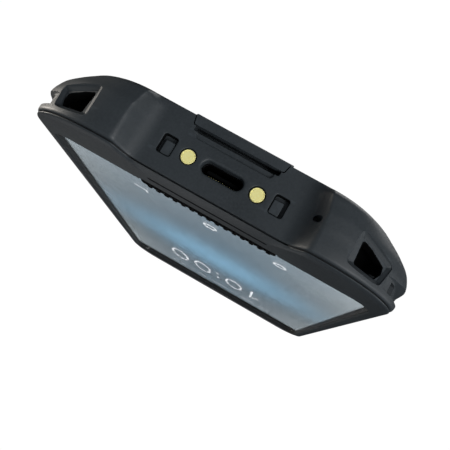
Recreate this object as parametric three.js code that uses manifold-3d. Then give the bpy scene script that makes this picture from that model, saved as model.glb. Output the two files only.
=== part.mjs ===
// Rugged hand-held data collector: a phone-shaped field computer with a six-inch screen.
// Millimetres. The device lies on its back: +X is to the right of the screen, +Y runs from the
// charging end to the earpiece end, +Z comes out of the screen. The origin is the middle of the
// footprint, at the level of the back of the battery cover.
import * as THREE from "three";
import { mergeVertices } from "three/addons/utils/BufferGeometryUtils.js";
import Module from "manifold-3d";

const wasm = await Module();
wasm.setup();

// ---- driving dimensions -------------------------------------------------------------------
const HALF_WIDTH = 42.5;
const HALF_LENGTH = 85.4;
const CREST_Z = 15.5;            // top of the raised lip round the screen
const GAP = 0.3;                 // clearance between neighbouring pieces
const OUTSIDE = 88;              // cutters start this far out, beyond every end and side
const ABOVE = 20;                // and end this high, over everything
const BELOW = -1;                // or this low
const BEHIND_FACE = -78;         // holes of the charging end open into the room behind it here
const BOSS_R = 3;                // pillars that the housing screws stand in
const SCREW_HOLE_TOP = 12;

const CHARGE_FACE_Y = -81;       // recessed middle of the charging end
const CHARGE_HALF = 17.4;        // half width of that face
const RAMP_RUN = 3.2;            // the ramps lead from it out to the corner bumpers
const TOP_FACE_Y = 83.9;         // recessed middle of the earpiece end
const TOP_HALF = 22;
const TOP_RUN = 8;
const PORT_Z = 9.2;              // height of the charging contacts and the USB-C port

const PARTING_Z = 14.6;          // top edge of the rear housing
const BEZEL_Z = 14.9;            // lower edge of the front bezel, above the dark joint line
const BACK_Z = 0.4;              // back face of the rear housing
const FLOOR_Z = 2.4;             // inside floor of the rear housing
const LOWER_FLOOR_Z = 4.9;       // floor of the room behind the charging end, over the pry slot
const WEB_Z = 7.9;               // underside of the web between the battery and the screen
const DECK_Z = 8.9;              // top side of that web
const GLASS_TOP = 14.2;
const GLASS_BOTTOM = 12.8;

const LIP = { x: 38.1, y0: -69.2, y1: 79.6, r: 5 };       // opening of the front bezel
const SCREEN = { x: 37.7, y0: -64.6, y1: 69.6 };          // lit area, a six-inch 16:9 panel
const SKIRT_X = LIP.x + 1;       // the bezel's skirt inside the housing walls
const SKIRT_Z = 10.9;
const SKIRT_WALL = SKIRT_X - LIP.x;
const WELL = {
  x: SKIRT_X + GAP,
  y0: LIP.y0 - SKIRT_WALL - GAP,
  y1: LIP.y1 + SKIRT_WALL + GAP,
  r: LIP.r + SKIRT_WALL + GAP,
};
const COVER = { x: 29.5, y0: -72, y1: 36, r: 9, top: 1.6 };   // battery cover plate
const TAB = { back: 10.7, tip: 9.7, z: 2.9, end: -79.4 };     // its tongue in the charging end
const PRY = { x: 9.2, z0: 2.6, z1: 4.1, depth: 5 };           // finger-nail slot over the tongue
const BAY = { x: 27, y0: -60, y1: 31, r: 2 };                 // battery bay
const PAD_X = 7.5;
const PAD = { r: 1.45, hole: 2.0, face: -80.9, back: -79.3 };
const SOCKET = { x: 12.1, half: 1.53, z0: 7.05, z1: 11.2, block: 0.5, depth: 1.6 };
const MIC_HOLE = { x: -19.9, z: 8.2, r: 0.65 };
const COMB = { half: 16, back: 0.9, bar: 2.2, reach: 4.4, top: 15.4, pitch: 2.05, tooth: 0.5, teeth: 15 };
const WINDOW_Z = 9.4;            // lanyard windows in the bottom corners
const WINDOW_END = -74.6;        // back wall of the space behind a window
const STRAP = { z0: 10.4, z1: 12.9 };                     // groove for the strap, round the corner
const CAMERA = { x: 14, y: 66, r: 6.4 };
const FLASH = { x: 0, y: 66, r: 2.6 };
const KEY = {
  height: 3.4,
  z: 7.4,
  tip: HALF_WIDTH + 0.7,
  shoulder: HALF_WIDTH - 2.1,
  foot: HALF_WIDTH - 4.7,
  hole: HALF_WIDTH - 6.3,
};
const CHANNEL_X = HALF_WIDTH - 5.1;   // outer wall of the channels behind the keys
const KEYS = [
  { name: "power_button", side: 1, y: 34, length: 12 },
  { name: "right_function_key", side: 1, y: 4, length: 22 },
  { name: "volume_up_button", side: -1, y: 42, length: 11 },
  { name: "volume_down_button", side: -1, y: 28, length: 11 },
  { name: "left_function_key", side: -1, y: 4, length: 22 },
];
const BOARD_Z = 6.6;             // main board, with its parts on the side facing the back
const PORT_BOARD_Z = 6;          // small board under the USB-C port
const SCREWS = [
  { x: 25, y: -66.5, head: 2.0 },
  { x: -25, y: -66.5, head: 2.0 },
  { x: 30.4, y: 44, head: 0.7 },
  { x: -30.4, y: 44, head: 0.7 },
  { x: 30.4, y: 73, head: 0.7 },
  { x: -30.4, y: 73, head: 0.7 },
];
const SCREW = { headR: 1.9, headH: 1.1, shaftR: 0.8, top: 8.6 };

// ---- materials ------------------------------------------------------------------------------
const paint = (color, roughness, metalness = 0) =>
  new THREE.MeshStandardMaterial({ color, roughness, metalness });
const DARK_SHELL = paint(0x363c40, 0.62);
const RUBBER = paint(0x1c1f20, 0.85);
const BLACK_GLASS = paint(0x0b0e10, 0.08);
const SCREEN_GLOW = paint(0x7f909c, 0.3);
const GOLD = paint(0xe6cf74, 0.28, 1);
const STEEL = paint(0xb4b8bb, 0.32, 1);
const ALLOY = paint(0x9a9ea1, 0.45, 1);
const BOARD = paint(0x1d5a3a, 0.55);
const BLACK_PART = paint(0x15171a, 0.6);
const LABEL = paint(0x2c2f33, 0.5);
const CERAMIC = paint(0xc9bfa6, 0.7);
const LAMP = paint(0xf1ead0, 0.25);

const ROUND_STEPS = 3;           // facets in a quarter turn of a rounded plate

// ---- small modelling kit --------------------------------------------------------------------
function solid(geometry) {
  const bare = geometry.clone();
  bare.deleteAttribute("normal");
  bare.deleteAttribute("uv");
  const merged = mergeVertices(bare, 1e-4);
  return new wasm.Manifold(new wasm.Mesh({
    numProp: 3,
    vertProperties: Float32Array.from(merged.attributes.position.array),
    triVerts: Uint32Array.from(merged.index.array),
  }));
}

function toGeometry(manifold) {
  const mesh = manifold.getMesh();
  const geometry = new THREE.BufferGeometry();
  const points = Float32Array.from(mesh.vertProperties);
  geometry.setAttribute("position", new THREE.BufferAttribute(points, 3));
  geometry.setIndex(new THREE.BufferAttribute(Uint32Array.from(mesh.triVerts), 1));
  geometry.computeVertexNormals();
  return geometry;
}

const cut = (base, ...tools) => tools.reduce((rest, tool) => rest.subtract(tool), base);
const join = (base, ...more) => more.reduce((whole, piece) => whole.add(piece), base);

function prism(points, z0, z1) {
  const shape = points instanceof THREE.Shape ? points
    : new THREE.Shape(points.map(([x, y]) => new THREE.Vector2(x, y)));
  const geometry = new THREE.ExtrudeGeometry(shape,
    { depth: z1 - z0, bevelEnabled: false, curveSegments: ROUND_STEPS });
  return solid(geometry.translate(0, 0, z0));
}

function roundRect(x0, x1, y0, y1, r) {
  const shape = new THREE.Shape();
  shape.moveTo(x1 - r, y0);
  shape.absarc(x1 - r, y0 + r, r, -Math.PI / 2, 0);
  shape.absarc(x1 - r, y1 - r, r, 0, Math.PI / 2);
  shape.absarc(x0 + r, y1 - r, r, Math.PI / 2, Math.PI);
  shape.absarc(x0 + r, y0 + r, r, Math.PI, 1.5 * Math.PI);
  return shape;
}

const plate = (x0, x1, y0, y1, z0, z1, r = 0) =>
  (r > 0 ? prism(roundRect(x0, x1, y0, y1, r), z0, z1)
    : prism([[x0, y0], [x1, y0], [x1, y1], [x0, y1]], z0, z1));

// Two distances from the middle line, as a low and a high x on the left (-1) or right (1).
const span = (side, near, far) => (side > 0 ? [near, far] : [-far, -near]);

// A prism drawn in the XZ plane and run along Y, for holes and pieces of the charging end.
function prismY(shape, y0, y1) {
  const geometry = new THREE.ExtrudeGeometry(shape,
    { depth: y1 - y0, bevelEnabled: false, curveSegments: ROUND_STEPS });
  return solid(geometry.rotateX(Math.PI / 2).translate(0, y1, 0));
}

function rodY(x, z, radius, y0, y1, sides = 16) {
  const geometry = new THREE.CylinderGeometry(radius, radius, y1 - y0, sides);
  return solid(geometry.translate(x, (y0 + y1) / 2, z));
}

function rodZ(x, y, radius, z0, z1, sides = 16) {
  const geometry = new THREE.CylinderGeometry(radius, radius, z1 - z0, sides);
  return solid(geometry.rotateX(Math.PI / 2).translate(x, y, (z0 + z1) / 2));
}

// ---- outer form -----------------------------------------------------------------------------
// Each level of the hull is a plan outline with elliptical corners. The long sides pull in by
// `side` and the ends by `end`; large corner arcs sit at the charging end, smaller at the top.
// The arcs at the charging end grow towards the back, because their centres move inwards.
const CORNER_FRONT = { x: 23.1, y: -70.3, z: 14.4 };
const CORNER_BACK = { x: 19.6, y: -56.7, z: BACK_Z };
const CORNER_TOP = { x: 30.3, y: 72.2 };
const MOST_TOP_END = 6;
const ARC_STEPS = 9;

function bottomCorner(z) {
  const share = (z - CORNER_BACK.z) / (CORNER_FRONT.z - CORNER_BACK.z);
  return {
    x: CORNER_BACK.x + (CORNER_FRONT.x - CORNER_BACK.x) * share,
    y: CORNER_BACK.y + (CORNER_FRONT.y - CORNER_BACK.y) * share,
  };
}

function outline(z, side, end) {
  const halfWidth = HALF_WIDTH - side;
  const bottom = -HALF_LENGTH + end;
  const top = HALF_LENGTH - Math.min(end, MOST_TOP_END);
  const corner = bottomCorner(z);
  const points = [];
  const arc = (centre, sx, ry, from) => {
    const rx = halfWidth - centre.x;
    for (let i = 0; i <= ARC_STEPS; i += 1) {
      const angle = from + (Math.PI / 2) * (i / ARC_STEPS);
      points.push([sx * centre.x + rx * Math.cos(angle), centre.y + ry * Math.sin(angle)]);
    }
  };
  arc(corner, 1, corner.y - bottom, -Math.PI / 2);
  arc(CORNER_TOP, 1, top - CORNER_TOP.y, 0);
  arc(CORNER_TOP, -1, top - CORNER_TOP.y, Math.PI / 2);
  arc(corner, -1, corner.y - bottom, Math.PI);
  return points;
}

function loft(levels) {
  const rings = levels.map(([z, side, end]) =>
    outline(z, side, end).map(([x, y]) => [x, y, z]));
  const count = rings[0].length;
  const positions = rings.flat(2);
  const indices = [];
  for (let level = 0; level + 1 < rings.length; level += 1) {
    for (let i = 0; i < count; i += 1) {
      const next = (i + 1) % count;
      const a = level * count + i;
      const b = level * count + next;
      indices.push(a, b, b + count, a, b + count, a + count);
    }
  }
  const last = (rings.length - 1) * count;
  for (let i = 1; i + 1 < count; i += 1) {
    indices.push(0, i + 1, i);
    indices.push(last, last + i, last + i + 1);
  }
  const geometry = new THREE.BufferGeometry();
  geometry.setAttribute("position", new THREE.Float32BufferAttribute(positions, 3));
  geometry.setIndex(indices);
  return solid(geometry);
}

// Height, how far the sides pull in, how far the ends pull in: a hull with a rounded back.
const HOUSING_LEVELS = [
  [BACK_Z, 11.1, 7.7],
  [1.1, 7.9, 4.6],
  [2.0, 6.2, 2.0],
  [3.0, 4.7, 0.5],
  [4.7, 2.1, 0.3],
  [6.7, 0.4, 0],
  [8.7, 0, 0],
  [10.2, 0.3, 0.1],
  [12.2, 0.8, 0.15],
  [PARTING_Z, 1.5, 0.4],
];
const BEZEL_LEVELS = [
  [BEZEL_Z, 1.75, 0.6],
  [15.2, 2.2, 1.2],
  [CREST_Z, 3.6, 2.5],
];

// What is taken off the two ends between the corner bumpers, with its sloping ramps.
function endRecesses(grow = 0) {
  const charge = CHARGE_FACE_Y + grow;
  const depth = HALF_LENGTH + charge;
  const slope = RAMP_RUN / (HALF_LENGTH + CHARGE_FACE_Y);
  const far = 4;
  const wide = CHARGE_HALF + slope * (depth + far);
  const bottom = prism([
    [-wide, -HALF_LENGTH - far], [wide, -HALF_LENGTH - far],
    [CHARGE_HALF, charge], [-CHARGE_HALF, charge],
  ], BELOW, CREST_Z + 1);
  const top = prism([
    [TOP_HALF, TOP_FACE_Y], [TOP_HALF + TOP_RUN, HALF_LENGTH + far],
    [-TOP_HALF - TOP_RUN, HALF_LENGTH + far], [-TOP_HALF, TOP_FACE_Y],
  ], BELOW, CREST_Z + 1);
  return [bottom, top];
}

// ---- rear housing ---------------------------------------------------------------------------
const mirrored = (points, side) => points.map(([x, y]) => [side * x, y]);

function lanyardWindow(side) {
  // Seen from the charging end: tall on its inner side, low on its outer side.
  const raised = (points) => new THREE.Shape(mirrored(points, side)
    .map(([x, z]) => new THREE.Vector2(x, WINDOW_Z + z)));
  const hole = raised([[28.7, -2.1], [34.2, 0.1], [33.7, 3.2], [29.2, 2.9]]);
  const rim = raised([[27.6, -3.6], [36.0, -0.9], [34.9, 3.9], [27.3, 3.5]]);
  return join(prismY(hole, -OUTSIDE, WINDOW_END), prismY(rim, -OUTSIDE, -82));
}

function strapGroove(side) {
  // The strap leaves through the corner into a shallow groove that runs out along the side.
  const beyond = HALF_WIDTH + 6;
  const groove = mirrored([[35.8, -80], [38.1, -76.6], [39.7, -71], [41.6, -63],
    [beyond, -63], [beyond, -OUTSIDE], [35.8, -OUTSIDE]], side);
  const exit = plate(...span(side, 33, 41), -77.8, WINDOW_END, STRAP.z0 + 0.2, STRAP.z1 - 0.1);
  return join(prism(groove, STRAP.z0, STRAP.z1), exit);
}

// A pocket with a block standing in it. The gap round the block is wide on two of its sides.
function dockSocket(side) {
  const { x, half, z0, z1, block, depth } = SOCKET;
  const [narrow, back, outer] = [0.16, 1.05, 0.8];
  const pocket = prismY(roundRect(side * x - half, side * x + half, z0, z1, 0.5),
    -OUTSIDE, CHARGE_FACE_Y + depth);
  const standing = prismY(
    roundRect(...span(side, x - half + narrow, x + half - outer), z0 + back, z1 - narrow, 0.3),
    CHARGE_FACE_Y + block, CHARGE_FACE_Y + depth + 1);
  return cut(pocket, standing);
}

function tabRecess(grow) {
  const points = [
    [-TAB.back - grow, BELOW], [TAB.back + grow, BELOW],
    [TAB.tip + grow, TAB.z + grow], [-TAB.tip - grow, TAB.z + grow],
  ];
  return new THREE.Shape(points.map(([x, z]) => new THREE.Vector2(x, z)));
}

function rearHousing() {
  const hull = cut(loft(HOUSING_LEVELS), ...endRecesses());
  const well = plate(-WELL.x, WELL.x, WELL.y0, WELL.y1, DECK_Z, ABOVE, WELL.r);
  const bosses = SCREWS.map(({ x, y }) => rodZ(x, y, BOSS_R, 0, DECK_Z, 16));
  const upperRoom = cut(plate(-34, 34, 34, 78, FLOOR_Z, DECK_Z + 1, 4), ...bosses);
  const lowerRoom = plate(-23, 23, -79, -63, LOWER_FLOOR_Z, 12.6, 1.5);
  const soundSlot = plate(-15, 15, -71.4, -70, 12, 15);
  const connectorHole = plate(-7.3, 7.3, BAY.y1 - 1, 35, 3.3, 7.2);
  const channels = [-1, 1].map((s) =>
    plate(...span(s, 30, CHANNEL_X), -58, 39, 6, DECK_Z + 1));
  const upperChannels = [-1, 1].map((s) =>
    plate(...span(s, 33.9, CHANNEL_X), 38, 50, 6, DECK_Z + 1));
  const coverSeat = plate(-COVER.x - GAP, COVER.x + GAP, COVER.y0 - GAP, COVER.y1 + GAP,
    BELOW, COVER.top + GAP, COVER.r + GAP);
  const bay = plate(-BAY.x, BAY.x, BAY.y0, BAY.y1, BELOW, WEB_Z, BAY.r);
  const tabSeat = prismY(tabRecess(GAP), -OUTSIDE, COVER.y0 + 4);
  const tabRoom = cut(tabSeat, plate(-20, 20, TAB.end + GAP, 0, COVER.top + GAP, 9));
  const prySlot = prismY(roundRect(-PRY.x, PRY.x, PRY.z0, PRY.z1, 0.3), -OUTSIDE,
    CHARGE_FACE_Y + PRY.depth);
  const shelf = prismY(roundRect(-8.4, 8.4, PRY.z1 - 0.5, PRY.z1 + 1.1, 0.7), -OUTSIDE,
    CHARGE_FACE_Y + 0.5);
  const port = prismY(roundRect(-4.4, 4.4, PORT_Z - 1.4, PORT_Z + 1.4, 1.39), -OUTSIDE, BEHIND_FACE);
  const padHoles = [-1, 1].map((s) => rodY(s * PAD_X, PORT_Z, PAD.hole, -OUTSIDE, BEHIND_FACE));
  const dockSockets = [-1, 1].map(dockSocket);
  const micHole = rodY(MIC_HOLE.x, MIC_HOLE.z, MIC_HOLE.r, -OUTSIDE, BEHIND_FACE);
  const windows = [-1, 1].map(lanyardWindow);
  const grooves = [-1, 1].map(strapGroove);
  const keyHoles = KEYS.map((key) => keyHole(key));
  const screwHoles = SCREWS.flatMap(({ x, y, head }) => [
    rodZ(x, y, SCREW.headR + GAP, BELOW, head + SCREW.headH + GAP, 16),
    rodZ(x, y, SCREW.shaftR + GAP, 0, SCREW_HOLE_TOP, 12),
  ]);
  const lensHoles = [
    rodZ(CAMERA.x, CAMERA.y, CAMERA.r + GAP, BELOW, 5, 28),
    rodZ(FLASH.x, FLASH.y, FLASH.r + GAP, BELOW, 5, 20),
  ];
  return cut(hull, well, upperRoom, lowerRoom, soundSlot, connectorHole,
    ...channels, ...upperChannels, coverSeat, bay, tabRoom, prySlot, shelf, port,
    ...padHoles, ...dockSockets, micHole, ...windows, ...grooves, ...keyHoles,
    ...screwHoles, ...lensHoles);
}

// ---- side keys ------------------------------------------------------------------------------
function keyHole({ side, y, length }) {
  const half = length / 2 + GAP;
  const z = KEY.height / 2 + GAP;
  return plate(...span(side, KEY.hole, 50), y - half, y + half, KEY.z - z, KEY.z + z);
}

function sideKey({ side, y, length }) {
  const half = length / 2;
  const rise = KEY.height / 2;
  const cap = plate(...span(side, KEY.shoulder, KEY.tip), y - half, y + half,
    KEY.z - rise, KEY.z + rise);
  const foot = plate(...span(side, KEY.foot, KEY.shoulder + 0.1), y - half + 1, y + half - 1,
    KEY.z - 1, KEY.z + 1);
  return join(cap, foot);
}

const SWITCH = { back: KEY.foot - 2.4, tip: KEY.foot - 0.7 };
const sideSwitch = ({ side, y }) =>
  plate(...span(side, SWITCH.back, SWITCH.tip), y - 2, y + 2, 6.6, 8.2);
const sideFlex = (side) =>
  plate(...span(side, SWITCH.back - 0.8, SWITCH.back - 0.3), -7, 46, 6.3, 8.6);

// ---- front ----------------------------------------------------------------------------------
function frontBezel() {
  const rim = cut(loft(BEZEL_LEVELS), ...endRecesses());
  const skirt = plate(-SKIRT_X, SKIRT_X, LIP.y0 - SKIRT_WALL, LIP.y1 + SKIRT_WALL,
    SKIRT_Z, BEZEL_Z + 0.1, LIP.r + SKIRT_WALL);
  const opening = plate(-LIP.x, LIP.x, LIP.y0, LIP.y1, SKIRT_Z - 1, ABOVE, LIP.r);
  const speakerPocket = plate(-COMB.half - GAP, COMB.half + GAP, LIP.y0 - COMB.back - GAP, LIP.y0 + 1,
    GLASS_TOP + 0.2, ABOVE, 1);
  const earSlot = plate(-8, 8, LIP.y1 - 1, LIP.y1 + 1.8, GLASS_TOP + 0.2, ABOVE, 0.9);
  return cut(join(rim, skirt), opening, speakerPocket, earSlot);
}

function frontGasket() {
  const outer = loft([[PARTING_Z + 0.02, 2.6, 1.2], [BEZEL_Z - 0.02, 2.7, 1.3]]);
  const ring = cut(outer, ...endRecesses(1.2));
  return cut(ring, plate(-WELL.x, WELL.x, WELL.y0, WELL.y1, SKIRT_Z - 1, ABOVE, WELL.r));
}

function coverGlass() {
  return plate(-LIP.x + GAP, LIP.x - GAP, LIP.y0 + GAP, LIP.y1 - GAP,
    GLASS_BOTTOM, GLASS_TOP, LIP.r - GAP);
}

function speakerGrille() {
  // A bar beside the glass with a comb of short teeth that reach over it.
  const under = GLASS_TOP + GAP;
  const bar = plate(-COMB.half, COMB.half, LIP.y0 - COMB.back, LIP.y0 + COMB.bar, under, COMB.top, 0.8);
  const teeth = Array.from({ length: COMB.teeth }, (_, i) => {
    const x = (i - (COMB.teeth - 1) / 2) * COMB.pitch;
    return plate(x - COMB.tooth, x + COMB.tooth, LIP.y0 + COMB.bar - 0.4, LIP.y0 + COMB.reach,
      under, COMB.top);
  });
  return join(bar, ...teeth);
}

function earpieceMesh() {
  return plate(-7.7, 7.7, LIP.y1 - 0.6, LIP.y1 + 1.5, BEZEL_Z + 0.1, BEZEL_Z + 0.4, 0.7);
}

// ---- battery side ---------------------------------------------------------------------------
function batteryCover() {
  const sheet = plate(-COVER.x, COVER.x, COVER.y0, COVER.y1, 0, COVER.top, COVER.r);
  const tongue = prismY(tabRecess(0), CHARGE_FACE_Y, COVER.y0 + 5);
  const kept = plate(-20, 20, -90, TAB.end, -1, 9);
  const neck = plate(-20, 20, -90, COVER.y0 + 5, 0, COVER.top);
  const shaped = tongue.intersect(join(kept, neck)).intersect(plate(-20, 20, -90, 0, 0, 9));
  const bevel = prism([[-40, -90], [40, -90], [40, -79.5], [-40, -79.5]], -3, 0);
  return cut(join(sheet, shaped), bevel);
}

function coverSeal() {
  const outer = plate(-BAY.x - 1.9, BAY.x + 1.9, BAY.y0 - 1.9, BAY.y1 + 1.9,
    COVER.top + 0.02, COVER.top + GAP - 0.02, BAY.r + 1.9);
  return cut(outer, plate(-BAY.x - 0.6, BAY.x + 0.6, BAY.y0 - 0.6, BAY.y1 + 0.6, 0, 9, BAY.r + 0.6));
}

// ---- inside: screen stack -------------------------------------------------------------------
const displayPanel = () => plate(-SCREEN.x, SCREEN.x, SCREEN.y0 - 1.6, SCREEN.y1 + 1.6, 10.8, 12.5, 2);

function displayBracket() {
  const sheet = plate(-WELL.x + 0.4, WELL.x - 0.4, WELL.y0 + 0.4, WELL.y1 - 0.4,
    9.2, 10.5, WELL.r - 0.4);
  const flexSlot = plate(-9, 9, -62, -58, 9, 11, 1);
  return cut(sheet, flexSlot);
}

const frontCamera = () => rodZ(-18, 74.2, 2.4, 10.8, 12.5);

// ---- inside: charging end -------------------------------------------------------------------
function obround(width, height) {
  const r = height / 2 - 0.005;
  return roundRect(-width / 2, width / 2, PORT_Z - height / 2, PORT_Z + height / 2, r);
}

function usbReceptacle() {
  const shell = prismY(obround(8.9, 3.2), -78.7, -71.4);
  const mouth = prismY(obround(8.3, 2.6), -79, -72.6);
  const tongue = prismY(roundRect(-3.35, 3.35, PORT_Z - 0.35, PORT_Z + 0.35, 0.2), -78, -72.5);
  return join(cut(shell, mouth), tongue);
}

function contactPad(side) {
  const x = side * PAD_X;
  const head = rodY(x, PORT_Z, PAD.r, PAD.face, PAD.back, 28);
  const stem = rodY(x, PORT_Z, 0.6, PAD.back - 0.1, -75.4, 12);
  const leg = plate(x - 0.5, x + 0.5, -76.2, -75.2, 7.3, PORT_Z);
  return join(head, stem, leg);
}

function contactSeal(side) {
  const ring = rodY(side * PAD_X, PORT_Z, PAD.hole - 0.04, PAD.face + 0.35, -79.4, 28);
  return cut(ring, rodY(side * PAD_X, PORT_Z, PAD.r + 0.08, -OUTSIDE, -70, 28));
}

const portBoard = () => plate(-22.5, 22.5, -78.4, -64.6, PORT_BOARD_Z, 7);
const microphone = () => plate(-21.9, -17.9, -78.7, -76.6, 7.3, 10.3);
const speakerDriver = () => plate(10.4, 22.4, -78.4, -71.8, 7.3, 12.2, 1);

// ---- inside: battery and main board ---------------------------------------------------------
const batteryPack = () => plate(-BAY.x + 0.6, BAY.x - 0.6, BAY.y0 + 0.6, BAY.y1 - 0.6,
  2.2, WEB_Z - 0.4, 1.6);
const batteryConnector = () => plate(-7, 7, BAY.y1 - 0.3, 36.6, 3.6, 6.9);

function mainBoard() {
  const sheet = plate(-33.4, 33.4, 37.2, 71, BOARD_Z, 7.6, 2);
  const clear = SCREWS.map(({ x, y }) => rodZ(x, y, 3.5, 5, 9, 16));
  return cut(sheet, ...clear, plate(-7.6, 7.6, 37, 38, 5, 9));
}

const hangs = BOARD_Z - GAP;     // what hangs from the board ends here
const processorShield = () => plate(-13, 10, 41, 56, 4.2, hangs, 0.6);
const cardHolder = () => plate(13.5, 26.5, 41.5, 55, 5.0, hangs);
const vibrationMotor = () => rodZ(-22, 49, 5, 3.2, hangs);
const gnssAntenna = () => plate(-25, -8, 58, 75, 2.8, hangs);
const wirelessAntenna = () => plate(23.4, 32, 62, 69.2, 2.8, 3.6);
const earpieceDriver = () => plate(-6, 6, 72, 77.5, 4.5, 8.7, 1);
const rearCamera = () => join(
  plate(CAMERA.x - 4.4, CAMERA.x + 4.4, CAMERA.y - 4.4, CAMERA.y + 4.4, 3.2, hangs),
  rodZ(CAMERA.x, CAMERA.y, 3.2, 1.8, 3.3),
);
const rearCameraWindow = () => rodZ(CAMERA.x, CAMERA.y, CAMERA.r, 0.5, 1.5, 36);
const flashLens = () => rodZ(FLASH.x, FLASH.y, FLASH.r, 0.5, 1.7, 24);
const flashLed = () => plate(-1.6, 1.6, FLASH.y - 1.6, FLASH.y + 1.6, 2.0, hangs);

function screw({ x, y, head }) {
  const top = head + SCREW.headH;
  const cap = rodZ(x, y, SCREW.headR, head, top, 20);
  const socket = rodZ(x, y, 0.8, head - 1, head + 0.6, 6);
  return cut(join(cap, rodZ(x, y, SCREW.shaftR, top - 0.1, SCREW.top, 12)), socket);
}

// ---- assembly -------------------------------------------------------------------------------
const collector = new THREE.Group();
function add(name, manifold, material) {
  const mesh = new THREE.Mesh(toGeometry(manifold), material);
  mesh.name = name;
  collector.add(mesh);
}

add("rear_housing", rearHousing(), DARK_SHELL);
add("front_bezel", frontBezel(), DARK_SHELL);
add("front_gasket", frontGasket(), RUBBER);
add("cover_glass", coverGlass(), BLACK_GLASS);
add("display_panel", displayPanel(), SCREEN_GLOW);
add("display_bracket", displayBracket(), ALLOY);
add("front_camera", frontCamera(), BLACK_PART);
add("speaker_grille", speakerGrille(), BLACK_PART);
add("speaker_driver", speakerDriver(), BLACK_PART);
add("earpiece_mesh", earpieceMesh(), BLACK_PART);
add("earpiece_driver", earpieceDriver(), BLACK_PART);
add("usb_c_receptacle", usbReceptacle(), STEEL);
add("port_board", portBoard(), BOARD);
add("microphone", microphone(), STEEL);
[["left", -1], ["right", 1]].forEach(([word, side]) => {
  add(`contact_pad_${word}`, contactPad(side), GOLD);
  add(`contact_seal_${word}`, contactSeal(side), RUBBER);
  add(`side_flex_${word}`, sideFlex(side), BOARD);
});
add("battery_cover", batteryCover(), DARK_SHELL);
add("cover_seal", coverSeal(), RUBBER);
add("battery_pack", batteryPack(), LABEL);
add("battery_connector", batteryConnector(), BLACK_PART);
add("main_board", mainBoard(), BOARD);
add("processor_shield", processorShield(), STEEL);
add("card_holder", cardHolder(), STEEL);
add("vibration_motor", vibrationMotor(), STEEL);
add("gnss_antenna", gnssAntenna(), CERAMIC);
add("wireless_antenna", wirelessAntenna(), BOARD);
add("rear_camera", rearCamera(), BLACK_PART);
add("rear_camera_window", rearCameraWindow(), BLACK_GLASS);
add("flash_lens", flashLens(), LAMP);
add("flash_led", flashLed(), LAMP);
KEYS.forEach((key) => {
  add(key.name, sideKey(key), RUBBER);
  add(`${key.name}_switch`, sideSwitch(key), BLACK_PART);
});
SCREWS.forEach((spot, i) => add(`housing_screw_${i + 1}`, screw(spot), STEEL));

export default collector;
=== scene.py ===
"""Looks of a rugged hand-held data collector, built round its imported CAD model.

The device lies on its back: +X is to the right of the screen, +Y runs from the charging end to the
earpiece end, +Z comes out of the screen. Shapes are worked out in millimetres, and the meshes are
written in metres, in the frame of the CAD model.
"""

import math

import bmesh
import bpy
import numpy as np
from mathutils import Matrix, Vector


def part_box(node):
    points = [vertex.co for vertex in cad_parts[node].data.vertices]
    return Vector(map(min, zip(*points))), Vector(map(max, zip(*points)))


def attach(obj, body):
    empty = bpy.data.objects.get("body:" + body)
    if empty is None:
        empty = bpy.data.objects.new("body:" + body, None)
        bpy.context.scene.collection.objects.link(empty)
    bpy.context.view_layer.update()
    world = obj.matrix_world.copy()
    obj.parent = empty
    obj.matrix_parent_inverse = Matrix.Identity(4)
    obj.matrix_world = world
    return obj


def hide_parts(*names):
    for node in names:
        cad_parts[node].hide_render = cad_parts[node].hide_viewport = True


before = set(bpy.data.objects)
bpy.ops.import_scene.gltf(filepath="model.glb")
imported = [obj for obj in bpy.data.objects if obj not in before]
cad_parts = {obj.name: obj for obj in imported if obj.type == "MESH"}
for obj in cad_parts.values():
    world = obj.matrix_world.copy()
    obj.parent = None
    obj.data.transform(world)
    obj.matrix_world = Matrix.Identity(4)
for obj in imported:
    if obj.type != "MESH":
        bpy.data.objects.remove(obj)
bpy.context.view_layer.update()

MM = 0.001
BODY = "device"
COVER_BODY = "battery_cover"


def box_mm(node):
    """Lowest and highest corner of a CAD node, in millimetres."""
    low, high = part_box(node)
    return low / MM, high / MM


def round_node(node):
    """Lowest and highest corner of a round CAD node, its middle in plan, and its radius."""
    low, high = box_mm(node)
    return low, high, ((low.x + high.x) / 2, (low.y + high.y) / 2), (high.x - low.x) / 2


# ---- driving dimensions, read from the CAD model ----
housing_low, housing_high = box_mm("rear_housing")
bezel_low, bezel_high = box_mm("front_bezel")
glass_low, glass_high = box_mm("cover_glass")
pad_low, pad_high = box_mm("contact_pad_right")
cover_low, cover_high = box_mm("battery_cover")
battery_low, battery_high = box_mm("battery_pack")

HALF_WIDTH = housing_high.x
HALF_LENGTH = housing_high.y
BACK_Z = housing_low.z
PARTING_Z = housing_high.z
CREST_Z = bezel_high.z
GAP = 0.3
BEYOND_Y = -88                         # cutters of the charging end start out here
PAD_X = (pad_low.x + pad_high.x) / 2
PAD_FACE_Y = pad_low.y
PAD_R = (pad_high.x - pad_low.x) / 2
PORT_Z = pad_high.z - PAD_R

# ---- dimensions of the outer form, as in the CAD source ----
CHARGE_FACE_Y = PAD_FACE_Y - 0.1       # recessed middle of the charging end
CHARGE_HALF = 17.4
RAMP_RUN = 3.2                         # ramps from that face out to the corner bumpers
RAMP_BENDS = (2.3, 0.9)                # reach of the roundings at their inner and outer end
LEAST_CORNER = 0.6                     # the ramps end at least this far from the corner arcs
RAMP_LEAN = 0.9                        # how much of the bezel's lean the feet of the ramps follow
TOP_FACE_Y = HALF_LENGTH - 1.5         # recessed middle of the earpiece end
TOP_HALF = 22
TOP_RUN = 2.2
TOP_BENDS = (1.6, 0.9)
MOST_TOP_INSET = 6
CORNER_FRONT = (23.1, -70.3, 14.4)     # centre of the bottom corner arcs near the screen side
CORNER_BACK = (19.6, -56.7, BACK_Z)    # and at the back, where the arcs are larger
CORNER_TOP = (30.3, 72.2)
BEZEL_Z = PARTING_Z + 0.3
LIP_X = glass_high.x + GAP
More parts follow.
